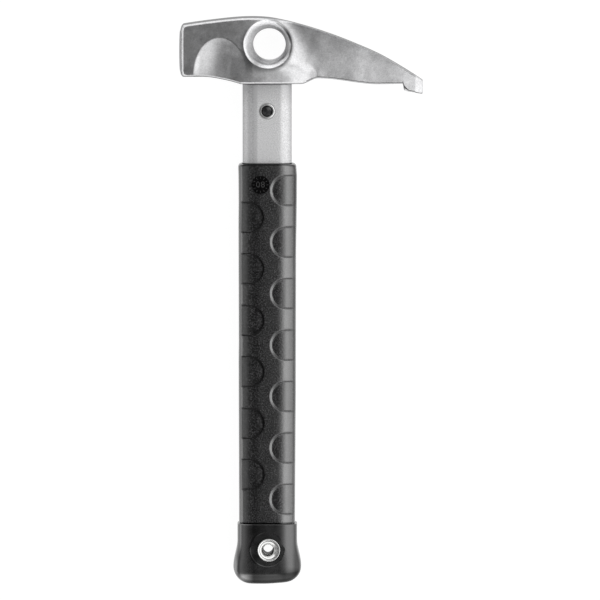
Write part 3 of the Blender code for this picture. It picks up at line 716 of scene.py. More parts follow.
def cheekToneAndPaintedLight(x, y):
    # A darker block and a lighter scoop, partly the steel's own and partly painted light and shade; a
    # brighter middle, a bright patch beside the eye and touches low on the cheek, which are painted light
    # and shade; and a beak that is darker along its top
    toneAndPaintedLight = alongSteps(cheekTonesAndPaintedLight, x)
    beak = min(max((x - 20.0) / 50.0, 0.0), 1.0)
    toneAndPaintedLight *= 1 - 0.18 * ease((x - 10.0) / 6.0) * ease((y - mix(16.0, 4.0, beak)) / 12.0)
    # A painted highlight on the slope beside the eye, and painted light and shade low on the cheek
    paintedLightAndShade = 1 + 0.2 * math.exp(-(((x - 23.5) / 3.0) ** 2) - ((y - 10.5) / 4.0) ** 2)
    for place, left, right, top, fade, strength in paintedLowTouches:
        spread = (x - place) / (left if x < place else right)
        paintedLightAndShade *= 1 + strength * math.exp(-(spread**2)) * ease((top - y) / fade)
    # Inside the scoop the brightness is partly its own and partly painted shade, darker towards the bottom
    inScoop = ease(scoopDepth(x, y) / 0.2) * ease((-4.0 - x) / 8.0)
    faceSide = mix(0.41, 0.48, ease((y - 4.0) / 16.0)) * mix(0.8, 1.0, ease((y - 3.0) / 6.0))
    faceSide *= 1 + 0.3 * ease((-33.5 - x) / 2.5)
    underEye = mix(0.47, 0.57, ease((y - 4.0) / 4.0))
    beakSide = mix(alongSteps(paintedScoopBeakSide, y), underEye, ease((x + 20.0) / 8.0))
    return mix(toneAndPaintedLight, mix(faceSide, beakSide, ease((x + 34.0) / 16.0)), inScoop) * paintedLightAndShade


def paintedEdgeTone(x, share, top):
    # Painted light and shade across a chamfer, from the wall's edge (0) to the cheek's edge (1)
    if top:
        return mix(0.36 if share < 0.15 else 0.60, 0.26 if share > 0.5 else 0.40, ease((x - 8.0) / 8.0))
    for end, turn, outer, inner in paintedLowEdgeTones:
        if x < end:
            return inner if share > turn else outer


def headToneAndPaintedLight(x, y, z):
    # How bright one point of the steel is: cheeks as above, painted highlights and dark lines on the
    # chamfers, painted shade on the walls, round the eye and in the seam under the head, and painted
    # light and shade in the eye's flare, mouth and rim
    eyeX, eyeY = eye["x"] + eye["lean"][0], eye["y"] + eye["lean"][1]
    fromEye = math.hypot(x - eyeX, y - eyeY)
    bearing = math.degrees(math.atan2(y - eyeY, x - eyeX))
    bearing = bearing + 360.0 if bearing < -90.0 else bearing
    ring = {name: alongSteps(steps, bearing) for name, steps in paintedRingTones.items()}
    fromTop, fromLow = headTop(x) - y, y - headBottom(x)
    fromEdge, top = min(fromTop, fromLow), fromTop < fromLow
    cut = alongSteps(head["topChamfer" if top else "bottomChamfer"], x)
    share = fromEdge / cut
    fromFace = x - head["face"]
    # Painted shade in a ring round the eye's lip
    shaded = mix(ring["ringShade"], 1.0, ease((fromEye - ring["edge"] - 0.25) / ring["ringShadeWidth"]))
    value = cheekToneAndPaintedLight(x, y) * shaded
    # Painted light and shade on the eye's flare, mouth and rim
    if fromEye < eye["lip"] + 0.02 and abs(z) > 4.0:
        band = mix(ring["flare"], ring["mouth"], ease((fromEye - 9.5) / 0.8))
        band = mix(band, ring["rim"], ease((fromEye - 11.0) / 0.6))
        value = mix(band, value, ease((fromEye - ring["edge"] + 0.2) / 0.35))
    # Painted shade on the walls
    elif abs(z) < cheekHeight(x, y) - head["chamferDrop"] - 0.3 and share < 0.2:
        value = paintedEdgeTones["wall"]
    # Painted highlights and dark lines on the chamfers
    elif share < 1.02:
        value = paintedEdgeTone(x, share, top)
    # The tip's bevel, with painted shade along its low edge
    if x > head["tip"] - head["tipBevelLength"] - 0.1 and abs(z) > 1.0:
        value = paintedEdgeTones["tip"] if share > 0.6 or top else paintedEdgeTones["tipLow"]
    # A painted highlight on the corner of the panel
    corner = head["panelCorner"]
    intoPanel = (fromFace - paintedFaceTones["panel"], fromEdge - cut)
    nearCorner = [max(corner - distance, 0.0) for distance in intoPanel]
    if min(nearCorner) > 0 and math.hypot(*nearCorner) > corner and share > 1.0:
        value = paintedEdgeTones["panelCorner"]
    # Painted shade on the striking face and a painted highlight on its bevel
    if fromFace < paintedFaceTones["bevelEnd"]:
        value = paintedFaceTones["bevel"] if fromFace > paintedFaceTones["bevelStart"] else paintedFaceTones["face"]
        reach = paintedFaceTones["corner"]
        fromCorner = [max(reach - distance, 0.0) for distance in (fromFace - head["crownSag"], fromEdge)]
        if min(fromCorner) > 0:
            value = paintedFaceTones["face"] if math.hypot(*fromCorner) > reach - 0.8 else paintedFaceTones["bevel"]
    # Painted shade on the tang, in the seam under the head
    return paintedEdgeTones["underside"] if y < -0.1 and abs(x) < 12.0 else value


def headRings():
    face, tip = head["face"], head["tip"]
    edge, rise, border = face + head["crownSag"], head["faceBevelRise"], head["faceBorder"]
    turn = head["faceEdge"]
    bevelEnd = edge + turn + head["faceBevelLength"]

    def cornerInset(x):
        # Seen from above, the block's corners are rounded over the whole bevel
        left = (bevelEnd - x) / (bevelEnd - edge)
        return (rise + turn) * (1 - math.sqrt(max(0.0, 1 - left * left)))

    rings = []
    for t in (0.0, 0.25, 0.5, 0.75):
        rings.append(headSection(face + head["crownSag"] * t * t, mix(border, rise + turn, t)))
    for k in range(7):
        angle = math.pi / 2 * k / 6
        x = edge + turn * (1 - math.cos(angle))
        rings.append(headSection(x, rise + turn * (1 - math.sin(angle)), cornerInset(x)))
    for t in (0.12, 0.5, 1.0):
        x = mix(edge + turn, bevelEnd, t)
        rings.append(headSection(x, rise * (1 - t), cornerInset(x)))
    middleY = (headTop(face) + headBottom(face)) / 2
    for ring in rings:
        # The face is crowned from top to bottom
        sag = head["faceCrown"] * ease((bevelEnd - ring[0][0]) / 1.5)
        ring[:] = [(x + sag * ((y - middleY) / 13.0) ** 2, y, z) for x, y, z in ring]
    fine, coarse = head["fineStep"], head["coarseStep"]
    bevelStart = tip - head["tipBevelLength"]
    stations = (
        spaced(bevelEnd + 0.3, 28.0, fine)
        + spaced(28.0, 67.5, coarse)
        + spaced(67.5, 68.7, fine)
        + spaced(68.7, 71.5, head["hookStep"])
        + spaced(71.5, bevelStart - 0.2, fine)
        + [bevelStart - 0.2, bevelStart, bevelStart + 0.2]
        + spaced(bevelStart + 0.6, tip - 0.4, fine)
        + [tip - 0.4]
    )
    rings += [headSection(x) for x in stations]
    return rings + [headSection(tip - 0.12, 0.1), headSection(tip, 0.4)]


def makeHead(material):
    piece = drawn("hammerHead", skin(headRings()))
    # The lip round the eye stands a little proud of the cheeks
    lipTop = head["half"] + eye["proud"]
    lip, lipEdge = eye["lip"], eye["lipEdge"]
    lipProfile = bothSides([(0.0, lipTop), (lip - lipEdge, lipTop), (lip, lipTop - lipEdge)])
    centre = (eye["x"], eye["y"])
    carve(piece, "eyeLip", turned(lipProfile, eye["steps"], centre, lipLean), "UNION")
    # The tang goes down inside the tube
    halfWide, halfDeep = tubeWide - head["tangInset"], tubeDeep - head["tangInset"]
    low, chamfer = localY(headLow.y), head["tangChamfer"]
    rings = []
    for y, inset in ((head["tangTop"], 0.0), (low + chamfer, 0.0), (low, chamfer)):
        section = roundedBox(halfWide - inset, halfDeep - inset, head["tangCorner"] - inset, 10, 6.0)
        rings.append([(x, y, z) for x, z in section])
    carve(piece, "tangStock", skin(rings), "UNION")
    carve(piece, "eyeCutter", turned(eyeProfile(), eye["steps"], centre, eyeLean))
    hole = bothSides([(head["pinHole"], tubeDeep)], tubeDeep)
    carve(piece, "pinHoleCutter", turned(hole, 48, (0.0, pinMiddle)))
    # Each point's brightness, with its painted light and shade, is kept in an attribute
    tones = [headToneAndPaintedLight(*(toLocal @ vertex.co)) for vertex in piece.data.vertices]
    piece.data.attributes.new("toneAndPaintedLight", "FLOAT", "POINT").data.foreach_set("value", tones)
    finishPiece(piece, "hammer_head", material, sharpAngle=38)


# Tube: a rounded profile swept down the handle in Geometry Nodes, with its two cross holes cut after

tube = {
    "corner": 6.2,
    "wall": 1.5,
    "cornerPoints": 16,
    "holeRadius": 2.95,
    "rimRadius": 3.9,
    "rimRise": 0.3,
    "rimRoot": 0.08,
    "rimDepth": 1.0,
    "holeShift": 0.45,
    "eyeletHole": 3.8,
}


class Shaper(Nodes):
    # A Geometry Nodes tree with named inputs, given as kind=(names)
    def __init__(self, name, **inputs):
        super().__init__(bpy.data.node_groups.new(name, "GeometryNodeTree"))
        interface = self.tree.interface
        for kind, labels in inputs.items():
            for label in labels:
                interface.new_socket(label, in_out="INPUT", socket_type="NodeSocket" + kind)
        interface.new_socket("Geometry", in_out="OUTPUT", socket_type="NodeSocketGeometry")
        self.given = self.node("NodeGroupInput").outputs

    def end(self, geometry):
        realized = self.node("GeometryNodeRealizeInstances", {"Geometry": geometry}).outputs[0]
        painted = {"Geometry": realized, "Material": self.given["Material"]}
        painted = self.node("GeometryNodeSetMaterial", painted).outputs[0]
        self.node("NodeGroupOutput", {"Geometry": painted})

    def grow(self, name, values, bm=None):
        # Runs the tree on a mesh in millimetres, or on nothing, and puts the result in its place
        obj = drawn(name, bmesh.new() if bm is None else bm, Matrix())
        modifier = obj.modifiers.new(name, "NODES")
        modifier.node_group = self.tree
        for socket in self.tree.interface.items_tree:
            if socket.in_out == "INPUT" and socket.name in values:
                modifier[socket.identifier] = values[socket.name]
        settle(obj)
        obj.data.transform(toRow)
        return obj


def tubeSweep():
    floats = ("Half Width", "Half Depth", "Corner", "Wall", "Top", "Bottom")
    tree = Shaper("sweptTube", Float=floats, Int=("Corner Points",), Material=("Material",))
    given, maths = tree.given, tree.maths

    def solid(inset, extra):
        # One swept solid, smaller all round by inset and longer at each end by extra
        def end(label, shift):
            return tree.node("ShaderNodeCombineXYZ", {"Y": maths("ADD", given[label], shift)}).outputs[0]

        wide, deep, corner = (
            maths("SUBTRACT", given[label], inset) for label in ("Half Width", "Half Depth", "Corner")
        )
        sides = {"Width": maths("MULTIPLY", wide, 2.0), "Height": maths("MULTIPLY", deep, 2.0)}
        outline = tree.node("GeometryNodeCurvePrimitiveQuadrilateral", sides).outputs["Curve"]
        rounding = {"Curve": outline, "Radius": corner, "Count": given["Corner Points"]}
        outline = tree.node("GeometryNodeFilletCurve", rounding, mode="POLY").outputs["Curve"]
        ends = {"Start": end("Top", extra), "End": end("Bottom", -extra)}
        line = tree.node("GeometryNodeCurvePrimitiveLine", ends).outputs["Curve"]
        swept = {"Curve": line, "Profile Curve": outline, "Fill Caps": True}
        return tree.node("GeometryNodeCurveToMesh", swept).outputs["Mesh"]

    solids = {"Mesh 1": solid(0.0, 0.0), "Mesh 2": solid(given["Wall"], 2.0)}
    tree.end(tree.node("GeometryNodeMeshBoolean", solids, operation="DIFFERENCE").outputs["Mesh"])
    return tree


def makeTube(material):
    values = {
        "Half Width": tubeWide,
        "Half Depth": tubeDeep,
        "Corner": tube["corner"],
        "Wall": tube["wall"],
        "Top": localY(tubeHigh.y),
        "Bottom": localY(tubeLow.y),
        "Corner Points": tube["cornerPoints"],
        "Material": material,
    }
    piece = tubeSweep().grow("handleTube", values)
    pinCentre = (0.0, pinMiddle - tube["holeShift"])
    # Round the pin the wall is pressed up into a low rounded rim
    rim, rise, root = tube["rimRadius"], tube["rimRise"], tube["rimRoot"]
    middle = (tube["holeRadius"] + rim) / 2
    reach = rim - middle
    crest = [
        (middle + reach * math.sin(a), tubeDeep - root + (rise + root) * math.cos(a))
        for a in (math.pi / 16 * k for k in range(9))
    ]
    under = tubeDeep - tube["rimDepth"]
    outline = [(0.0, tubeDeep + rise)] + crest + [(rim, under), (0.0, under)]
    for side in (1, -1):
        carve(piece, "pinRim", turned([(r, side * z) for r, z in outline], 72, pinCentre), "UNION")
    bend = [
        (middle - reach * math.sin(a), tubeDeep + rise * math.cos(a))
        for a in (math.pi / 12 * k for k in range(7))
    ]
    past = tubeDeep + beyond
    carve(piece, "neckHoleCutter", turned(bothSides([(middle, past)] + bend, past), 72, pinCentre))
    hole = bothSides([(tube["eyeletHole"], past)], past)
    carve(piece, "eyeletHoleCutter", turned(hole, 64, (0.0, eyeletMiddle)))
    finishPiece(piece, "handle_tube", material, sharpAngle=30)


def tubeRoom(top, bottom):
    # What a sleeve is bored out by, between two heights, so that it fits over the tube
    section = roundedBox(tubeWide + fitGap, tubeDeep + fitGap, tube["corner"] + fitGap, 12, 8.0)
    return skin([[(x, y, z) for x, z in section] for y in (top, bottom)])


# Pin through the tube and the tang, set back in its hole, with a shallow dome

pin = {"radius": 2.92, "dome": 0.45, "chamfer": 0.4}


def makePin(material):
    half = (pinHigh.z - pinLow.z) / 2 / mm
    shoulder = half - pin["dome"]
    flat = pin["radius"] - pin["chamfer"]
    dome = [(flat * math.cos(a), shoulder + pin["dome"] * math.sin(a)) for a in (1.0, 0.5)]
    profile = [(0.0, half)] + dome + [(flat, shoulder), (pin["radius"], shoulder - pin["chamfer"])]
    piece = drawn("headPin", turned(bothSides(profile), 64, (0.0, pinMiddle - tube["holeShift"])))
    finishPiece(piece, "head_pin", material)


# Grip: a fine sleeve whose staggered pads are pressed in by Geometry Nodes, and its small dial

grip = {
    "sideWallTop": 1.85,
    "sideWallButt": 1.35,
    "power": 5.0,
    # How far each side stands out more, by distance from the top
    "widerBeakSide": [
        (0, 0.05), (6, 0.55), (20, 0.5), (31, 0.38), (43, 0.2), (120, 0.25), (150, 0.1), (178, 0.0),
    ],
    "widerFaceSide": [(0, 0.15), (6, 0.0), (20, -0.05), (31, 0.08), (90, 0.1), (100, 0.22), (183, 0.22)],
    # Painted gloss across the grip: highest where highlights fall, low where shade falls
    "paintedSheen": [
        (-14.6, 0.12), (-14.0, 0.24), (-13.3, 0.56), (-12.7, 0.78), (-12.0, 0.75), (-9.0, 0.42),
        (-7.0, 0.20), (-5.5, 0.17), (-3.5, 0.24), (0.0, 0.27), (5.5, 0.36), (7.5, 0.72), (8.5, 0.84),
        (9.5, 0.77), (11.6, 0.58), (12.6, 0.47), (13.6, 0.22), (14.4, 0.10),
    ],
    # Painted highlights on pad walls that face the beak side
    "paintedGlint": 0.72,
    "sideSheen": 0.2,
    "edgeRadius": 0.8,
    "cornerRadius": 1.6,
    "buttEdge": 0.35,
    "edgeSteps": 6,
    # A dark sheet under the seam between grip and cap, standing in for the shade in the gap
    "seamShadeLining": 0.5,
    "seamShadeLiningWall": 0.45,
    "pitch": 26.25,
    "firstBeakSide": 13.25,
    "firstFaceSide": 26.95,
    "countBeakSide": 7,
    "countFaceSide": 6,
    "padRadius": 8.0,
    "padInset": 12.9,
    "padDepth": 0.5,
    "padSlope": 0.75,
    "padFade": 3.0,
    "rowStep": 0.42,
    "acrossSteps": 29,
    "deepSteps": 19,
}
dial = {
    "x": -3.4,
    "drop": 10.4,
    "radius": 4.45,
    "depth": 0.3,
    "ticks": 12,
    "tickRadius": 3.55,
    "tickSize": (0.95, 0.22, 0.3),
    "sink": 0.06,
    "digits": "08",
    "digitSize": 4.4,
    "digitSpacing": 1.12,
    "digitThin": -0.045,
    "digitRaise": 0.12,
}


def gripHalfWidth(y):
    wall = mix(grip["sideWallTop"], grip["sideWallButt"], (gripTop - y) / (gripTop - gripButt))
    return tubeWide + fitGap + wall


def pressedPads():
    # Presses rows of pads into a sleeve: each pad is a half disc carried straight over the edge
    floats = (
        "Top", "Butt", "Half Width Top", "Half Width Butt", "First Beak Side", "First Face Side",
        "Pitch", "Pad Radius", "Pad Inset", "Pad Depth", "Pad Slope", "Pad Fade",
    )
    counts = ("Count Beak Side", "Count Face Side")
    tree = Shaper("pressedPads", Geometry=("Geometry",), Float=floats, Int=counts, Material=("Material",))
    given, maths = tree.given, tree.maths
    place = tree.split(tree.node("GeometryNodeInputPosition").outputs[0])
    down = maths("SUBTRACT", given["Top"], place["Y"])
    share = maths("DIVIDE", down, maths("SUBTRACT", given["Top"], given["Butt"]))
    narrowing = maths("SUBTRACT", given["Half Width Butt"], given["Half Width Top"])
    halfWidth = maths("ADD", given["Half Width Top"], maths("MULTIPLY", share, narrowing))
    centre = maths("SUBTRACT", maths("ADD", halfWidth, given["Pad Radius"]), given["Pad Inset"])

    def pressed(side, label):
        # How far inside the nearest pad's outline a point lies, on one side of the grip
        first, last = given["First " + label], maths("SUBTRACT", given["Count " + label], 1.0)
        steps = maths("DIVIDE", maths("SUBTRACT", down, first), given["Pitch"])
        nearest = maths("MINIMUM", maths("MAXIMUM", maths("ROUND", steps), 0.0), last)
        middle = maths("ADD", first, maths("MULTIPLY", nearest, given["Pitch"]))
        across = maths("MINIMUM", maths("SUBTRACT", maths("MULTIPLY", place["X"], side), centre), 0.0)
        along = maths("SUBTRACT", down, middle)
        away = maths("SQRT", maths("ADD", maths("POWER", across, 2.0), maths("POWER", along, 2.0)))
        return maths("SUBTRACT", given["Pad Radius"], away)

    inside = maths("MAXIMUM", pressed(1.0, "Beak Side"), pressed(-1.0, "Face Side"))
    depth = tree.span(inside, 0.0, given["Pad Slope"], 0.0, given["Pad Depth"], smooth=True)
    fromEdge = maths("SUBTRACT", halfWidth, maths("ABSOLUTE", place["X"]))
    fade = tree.span(fromEdge, 0.0, given["Pad Fade"], 0.0, -1.0, smooth=True)
    push = tree.node("ShaderNodeVectorMath", operation="SCALE")
    tree.give(tree.node("GeometryNodeInputNormal").outputs[0], push.inputs[0])
    tree.give(maths("MULTIPLY", depth, fade), push.inputs["Scale"])
    moved = {"Geometry": given["Geometry"], "Offset": push.outputs[0]}
    tree.end(tree.node("GeometryNodeSetPosition", moved).outputs["Geometry"])
    return tree


def dialTicks():
    # Raised ticks set round a circle, every one turned to the middle
    tree = Shaper(
        "dialTicks", Int=("Ticks",), Float=("Radius",), Vector=("Size", "Centre"), Material=("Material",)
    )
    given = tree.given
    circle = tree.node("GeometryNodeMeshCircle", {"Vertices": given["Ticks"], "Radius": given["Radius"]})
    bar = tree.node("GeometryNodeMeshCube", {"Size": given["Size"]}).outputs["Mesh"]
    outward = tree.node("GeometryNodeInputPosition").outputs[0]
    aim = tree.node("FunctionNodeAlignRotationToVector", {"Vector": outward}, axis="X").outputs["Rotation"]
    spread = {"Points": circle.outputs["Mesh"], "Instance": bar, "Rotation": aim}
    ticks = tree.node("GeometryNodeInstanceOnPoints", spread).outputs["Instances"]
    moved = {"Geometry": ticks, "Translation": given["Centre"]}
    tree.end(tree.node("GeometryNodeTransform", moved).outputs["Geometry"])
    return tree


def gripRings():
    length = gripTop - gripButt
    topEdge, buttEdge = (roundedEdge(grip[edge], grip["edgeSteps"]) for edge in ("edgeRadius", "buttEdge"))
    plain = spaced(grip["edgeRadius"], length - grip["buttEdge"], grip["rowStep"])
    along = topEdge + [(drop, 0.0) for drop in plain]
    along += [(length - drop, inset) for drop, inset in reversed(buttEdge)]
    # A thin dark sleeve carries on under the seam, so that no bare tube shows there: it stands in for
    # the shade in the gap
    seamShadeLining = grip["sideWallButt"] - grip["seamShadeLiningWall"]
    along += [(length, seamShadeLining), (length + grip["seamShadeLining"], seamShadeLining)]
    rings = []
    for drop, inset in along:
        past = max(1 - drop / grip["cornerRadius"], 0.0)
        rounding = grip["cornerRadius"] * (1 - math.sqrt(1 - past * past))
        half = gripHalfWidth(gripTop - drop) - max(inset, rounding)
        section = slowBox(1.0, gripDeep - inset, grip["power"], grip["acrossSteps"], grip["deepSteps"])
        wider = {side: alongSteps(grip[side], drop) for side in ("widerBeakSide", "widerFaceSide")}
        ring = []
        for share, z in section:
            side = "widerBeakSide" if share > 0 else "widerFaceSide"
            ring.append((share * (half + wider[side]), gripTop - drop, z))
        rings.append(ring)
    return rings


def inBeakPad(x, y):
    # 1 on the floor of a pad of the beak side, 0 outside
    down = gripTop - y - grip["firstBeakSide"]
    nearest = min(max(round(down / grip["pitch"]), 0), grip["countBeakSide"] - 1)
    middle = gripHalfWidth(y) + grip["padRadius"] - grip["padInset"]
    away = math.hypot(min(x - middle, 0.0), down - nearest * grip["pitch"])
    return ease((grip["padRadius"] - away) / grip["padSlope"]) * ease(x / 2.0)


def sideShare(normal):
    # 1 on the sides and the back, where the rubber is left plain
    return max(ease((abs(normal.x) - 0.92) / 0.06), ease(-normal.z / 0.2))


def gripPaintedSheen(place, normal):
    # Painted gloss: highest where highlights fall on the sides, painted shade on the pad walls and on the
    # floors of the beak side's pads, painted highlights on walls that face the beak side, none in the
    # dial's well
    x, y = place.x, place.y
    fromDial = math.hypot(x - dial["x"], y - gripTop + dial["drop"])
    if fromDial < dial["radius"] + 0.2 and gripDeep - 1.0 < place.z < gripDeep - 0.1:
        return 0.0
    flat = ease((gripHalfWidth(y) - 4.0 - abs(x)) / 2.0)
    steep = ease((abs(normal.y) - 0.05) / 0.3) * ease((x + 15.0) / 3.0)
    wall = max(steep, flat * ease((-normal.x - 0.05) / 0.3))
    paintedShadow = mix(0.96, 0.66, ease((x - 6.0) / 2.0)) * wall
    paintedSheen = alongSteps(grip["paintedSheen"], x) * (1 - paintedShadow) * (1 - inBeakPad(x, y) * mix(0.12, 0.45, flat))
    paintedGlint = flat * ease((normal.x - 0.08) / 0.25) * ease(x / 2.0) * (1 - steep * 0.8)
    return mix(mix(paintedSheen, grip["paintedGlint"], paintedGlint), grip["sideSheen"], sideShare(normal))


# Stores each point's painted gloss
def setPaintedSheen(piece, rule):
    shares = [min(max(rule(toLocal @ v.co, v.normal), 0.02), 1.0) for v in piece.data.vertices]
    piece.data.attributes.new("paintedSheen", "FLOAT", "POINT").data.foreach_set("value", shares)


def makeGrip(material):
    values = {
        "Top": gripTop,
        "Butt": gripButt,
        "Half Width Top": gripHalfWidth(gripTop),
        "Half Width Butt": gripHalfWidth(gripButt),
        "Material": material,
    }
    # The other inputs are named as their settings are
    for label in (
        "First Beak Side", "First Face Side", "Pitch", "Pad Radius", "Pad Inset", "Pad Depth", "Pad Slope",
        "Pad Fade", "Count Beak Side", "Count Face Side",
    ):
        key = label.replace(" ", "")
        values[label] = grip[key[0].lower() + key[1:]]
    piece = pressedPads().grow("gripSleeve", values, skin(gripRings()))
    carve(piece, "gripBore", tubeRoom(gripTop + beyond, gripButt - beyond))
    floor = gripDeep - dial["depth"]
    well = [
        (dial["radius"] + 0.4, gripDeep + 0.4),
        (dial["radius"] - 0.1, floor),
        (0.0, floor),
        (0.0, gripDeep + 0.4),
    ]
    carve(piece, "dialWell", turned(well, 64, (dial["x"], gripTop - dial["drop"])))
    setPaintedSheen(piece, gripPaintedSheen)
    finishPiece(piece, "grip_sleeve", material, sharpAngle=42)


def makeDial(material):
    centre = (dial["x"], gripTop - dial["drop"], gripDeep - dial["depth"] + dial["sink"])
    values = {
        "Ticks": dial["ticks"],
        "Radius": dial["tickRadius"],
        "Size": dial["tickSize"],
        "Centre": centre,
        "Material": material,
    }
    marks = dialTicks().grow("dialMarks", values)
    words = bpy.data.curves.new("dialDigits", "FONT")
    words.body = dial["digits"]
    words.size = dial["digitSize"]
    words.space_character = dial["digitSpacing"]
    words.align_x = "CENTER"
    words.align_y = "CENTER"
    words.extrude = dial["digitRaise"]
    words.offset = dial["digitThin"]
    digits = bpy.data.objects.new("dialDigits", words)
    bpy.context.scene.collection.objects.link(digits)
    mesh = settledMesh(digits)
    mesh.transform(toRow @ Matrix.Translation(centre))
    bpy.data.objects.remove(digits)
    bm = bmesh.new()
    bm.from_mesh(marks.data)
    bm.from_mesh(mesh)
    bmesh.ops.remove_doubles(bm, verts=bm.verts, dist=0.000001)
    bmesh.ops.recalc_face_normals(bm, faces=bm.faces)
    bm.to_mesh(marks.data)
    bm.free()
    paint(marks, material)
    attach(marks, "root")


# Butt cap: a collar, a flare and a rounded end

cap = {
    "power": 5.0,
    "swell": 0.3,
    "longer": 0.4,
    # Painted gloss across the cap: highest where highlights fall, low where shade falls
    "paintedSheen": [
        (-16.5, 0.85), (-15.2, 0.38), (-14.4, 0.36), (-13.0, 0.95), (-12.0, 0.95), (-9.0, 0.45),
        (-7.0, 0.14), (0.0, 0.24), (6.0, 0.26), (10.0, 0.5), (12.5, 0.46), (14.4, 0.2),
    ],
    "sideSheen": 0.13,
    "slant": 0.55,
    "lip": 0.4,
    "lipSteps": 5,
    "collar": 8.5,
    "flareWidth": 2.1,
    "flareDepth": 0.6,
    "endRadius": 9.0,
    "endRadiusDepth": 7.0,
    "endSteps": 28,
    "floor": 5.7,
    "seatRadius": 8.9,
    "seatStep": 0.045,
    "funnel": 5.2,
    "eyeletHole": 3.8,
    "funnelDepth": 1.4,
    "acrossSteps": 30,
    "deepSteps": 22,
}


def capSection(drop, halfWide, halfDeep, length):
    def rounded(full, radius):
        # Half a size beside the rounded end, whose corner has this radius
        past = max(drop - length + radius, 0.0)
        return full - radius + math.sqrt(max(0.0, radius**2 - past**2))

    flare = ease((drop - cap["collar"]) / (length - cap["endRadius"] - cap["collar"]))
    wide = rounded(halfWide + cap["flareWidth"] * flare, cap["endRadius"])
    return wide, rounded(halfDeep + cap["flareDepth"] * flare, cap["endRadiusDepth"])


def makeCap(material):
    top, butt = localY(capHigh.y), localY(capLow.y) - cap["longer"]
    length = top - butt
    halfWide = capWide - cap["flareWidth"] + cap["swell"]
    halfDeep = capDeep - cap["flareDepth"]
    lip, endRadius = cap["lip"], cap["endRadius"]
    belly = length - endRadius
    turnedIn = roundedEdge(lip, cap["lipSteps"])
    stations = [(drop, halfWide - inset, halfDeep - inset) for drop, inset in turnedIn]
    drops = spaced(lip, belly, 0.4)
    steps = cap["endSteps"]
    drops += [belly + endRadius * math.sin(math.pi / 2 * k / steps) for k in range(steps + 1)]
    stations += [(drop, *capSection(drop, halfWide, halfDeep, length)) for drop in drops]
    rings = []
    for drop, wide, deep in stations:
        section = slowBox(wide, deep, cap["power"], cap["acrossSteps"], cap["deepSteps"])
        slant = cap["slant"] * ease((drop - belly) / endRadius)
        rings.append([(x, top - drop + slant * ease((x + 2.0) / 12.0), z) for x, z in section])
    piece = drawn("endCap", skin(rings))
    carve(piece, "capPocket", tubeRoom(top + beyond, butt + cap["floor"]))
    # The seat round an eyelet has a small rounded edge, and a funnel down to the eyelet's barrel
    seat, seatRadius = halfDeep - cap["seatStep"], cap["seatRadius"]
    profile = [
        (seatRadius + 0.5, seat + beyond),
        (seatRadius, seat + 0.12),
        (seatRadius - 0.25, seat + 0.02),
        (seatRadius - 0.4, seat),
        (seatRadius - 0.7, seat),
        (cap["funnel"] + 0.4, seat),
        (cap["funnel"], seat),
        (cap["eyeletHole"], seat - cap["funnelDepth"]),
    ]
    carve(piece, "eyeletSeat", turned(bothSides(profile, seat + beyond), 96, (0.0, eyeletMiddle)))

    def paintedSheen(place, normal):
        # Painted gloss: painted shade where the end turns down to the floor, most of all on the beak side,
        # and a painted highlight low on the face side
        down, up = -normal.y, place.y - butt
        beakSide = ease((place.x - 4.0) / 5.0)
        lowTurn = mix(0.62, 0.4, ease((place.x + 11.0) / 4.0))
        paintedShine = alongSteps(cap["paintedSheen"], place.x)
        paintedShine *= mix(1.0, mix(1.0, 0.42, beakSide), ease((down - 0.06) / 0.22))
        paintedShine *= mix(1.0, mix(lowTurn, 1.0, beakSide), ease((down - 0.26) / 0.15))
        paintedShine *= mix(1.0, mix(1.0, 0.6, beakSide), ease((9.5 - up) / 3.0))
        paintedShine *= 1 + 0.5 * (1 - beakSide) * ease((15.0 - up) / 5.0)
        paintedShine *= 1 - 0.96 * ease((down - 0.6) / 0.3)
        # Only the lower part of the seat's edge catches light
        # Painted shade dulls the seat's edge on the face side
        fromSeat = math.hypot(place.x, place.y - eyeletMiddle) - seatRadius
        paintedShine *= 1 - 0.8 * ease(1 - abs(fromSeat) / 0.8) * ease((-4.0 - place.x) / 2.0)
        return mix(paintedShine, cap["sideSheen"], sideShare(normal))

    setPaintedSheen(piece, paintedSheen)
    finishPiece(piece, "end_cap", material, sharpAngle=40)


# Eyelets: pressed flange with a rolled rim, a funnel and a barrel down into the plug

eyelet = {
    "rim": 0.6,
    "wall": 0.35,
    "bore": 2.95,
    "end": 2.55,
    "funnelDepth": 1.4,
    "funnelBend": 1.6,
    "length": 6.0,
    "shift": (0.5, -0.45),
    "flangeShift": (0.8, -0.4),
    "steps": 96,
}


def makeEyelets(material):
    flange = halfSize(eyeletLow, eyeletHigh)[0]
    bore, rim, depth = eyelet["bore"], eyelet["rim"], eyelet["funnelDepth"]
    outer = bore + eyelet["wall"]
    top = (eyeletHigh.z - middleZ) / mm
    profile = [
        (flange - rim / 2 + rim / 2 * math.cos(a), -rim / 2 + rim / 2 * math.sin(a))
        for a in (math.pi * (0.5 - k / 8) for k in range(9))
    ]
    profile += [(flange - 0.85, -rim), (outer, -depth - rim)]
    profile += [(outer, -eyelet["length"]), (eyelet["end"], -eyelet["length"])]
    for k in range(9):
        t = k / 8
        profile.append((mix(bore, flange - 1.15, t), -depth * (1 - t) ** eyelet["funnelBend"] - 0.22))
    profile += [(flange - 0.95, -0.28), (flange - 0.75, -0.2)]

    def lean(height):
        low = ease((top - abs(height) - 0.4) / 1.2)
        return tuple(mix(*pair, low) for pair in zip(eyelet["flangeShift"], eyelet["shift"]))

    for name, node, side in (("eyeletFront", "eyelet_front", 1), ("eyeletRear", "eyelet_rear", -1)):
        shaped = [(radius, side * (top + height)) for radius, height in profile]
        piece = drawn(name, turned(shaped, eyelet["steps"], (0.0, eyeletMiddle), lean))
        finishPiece(piece, node, material, sharpAngle=50)


# Stage, light and camera. Each wall of the studio has its brightness, and where it starts and is full.

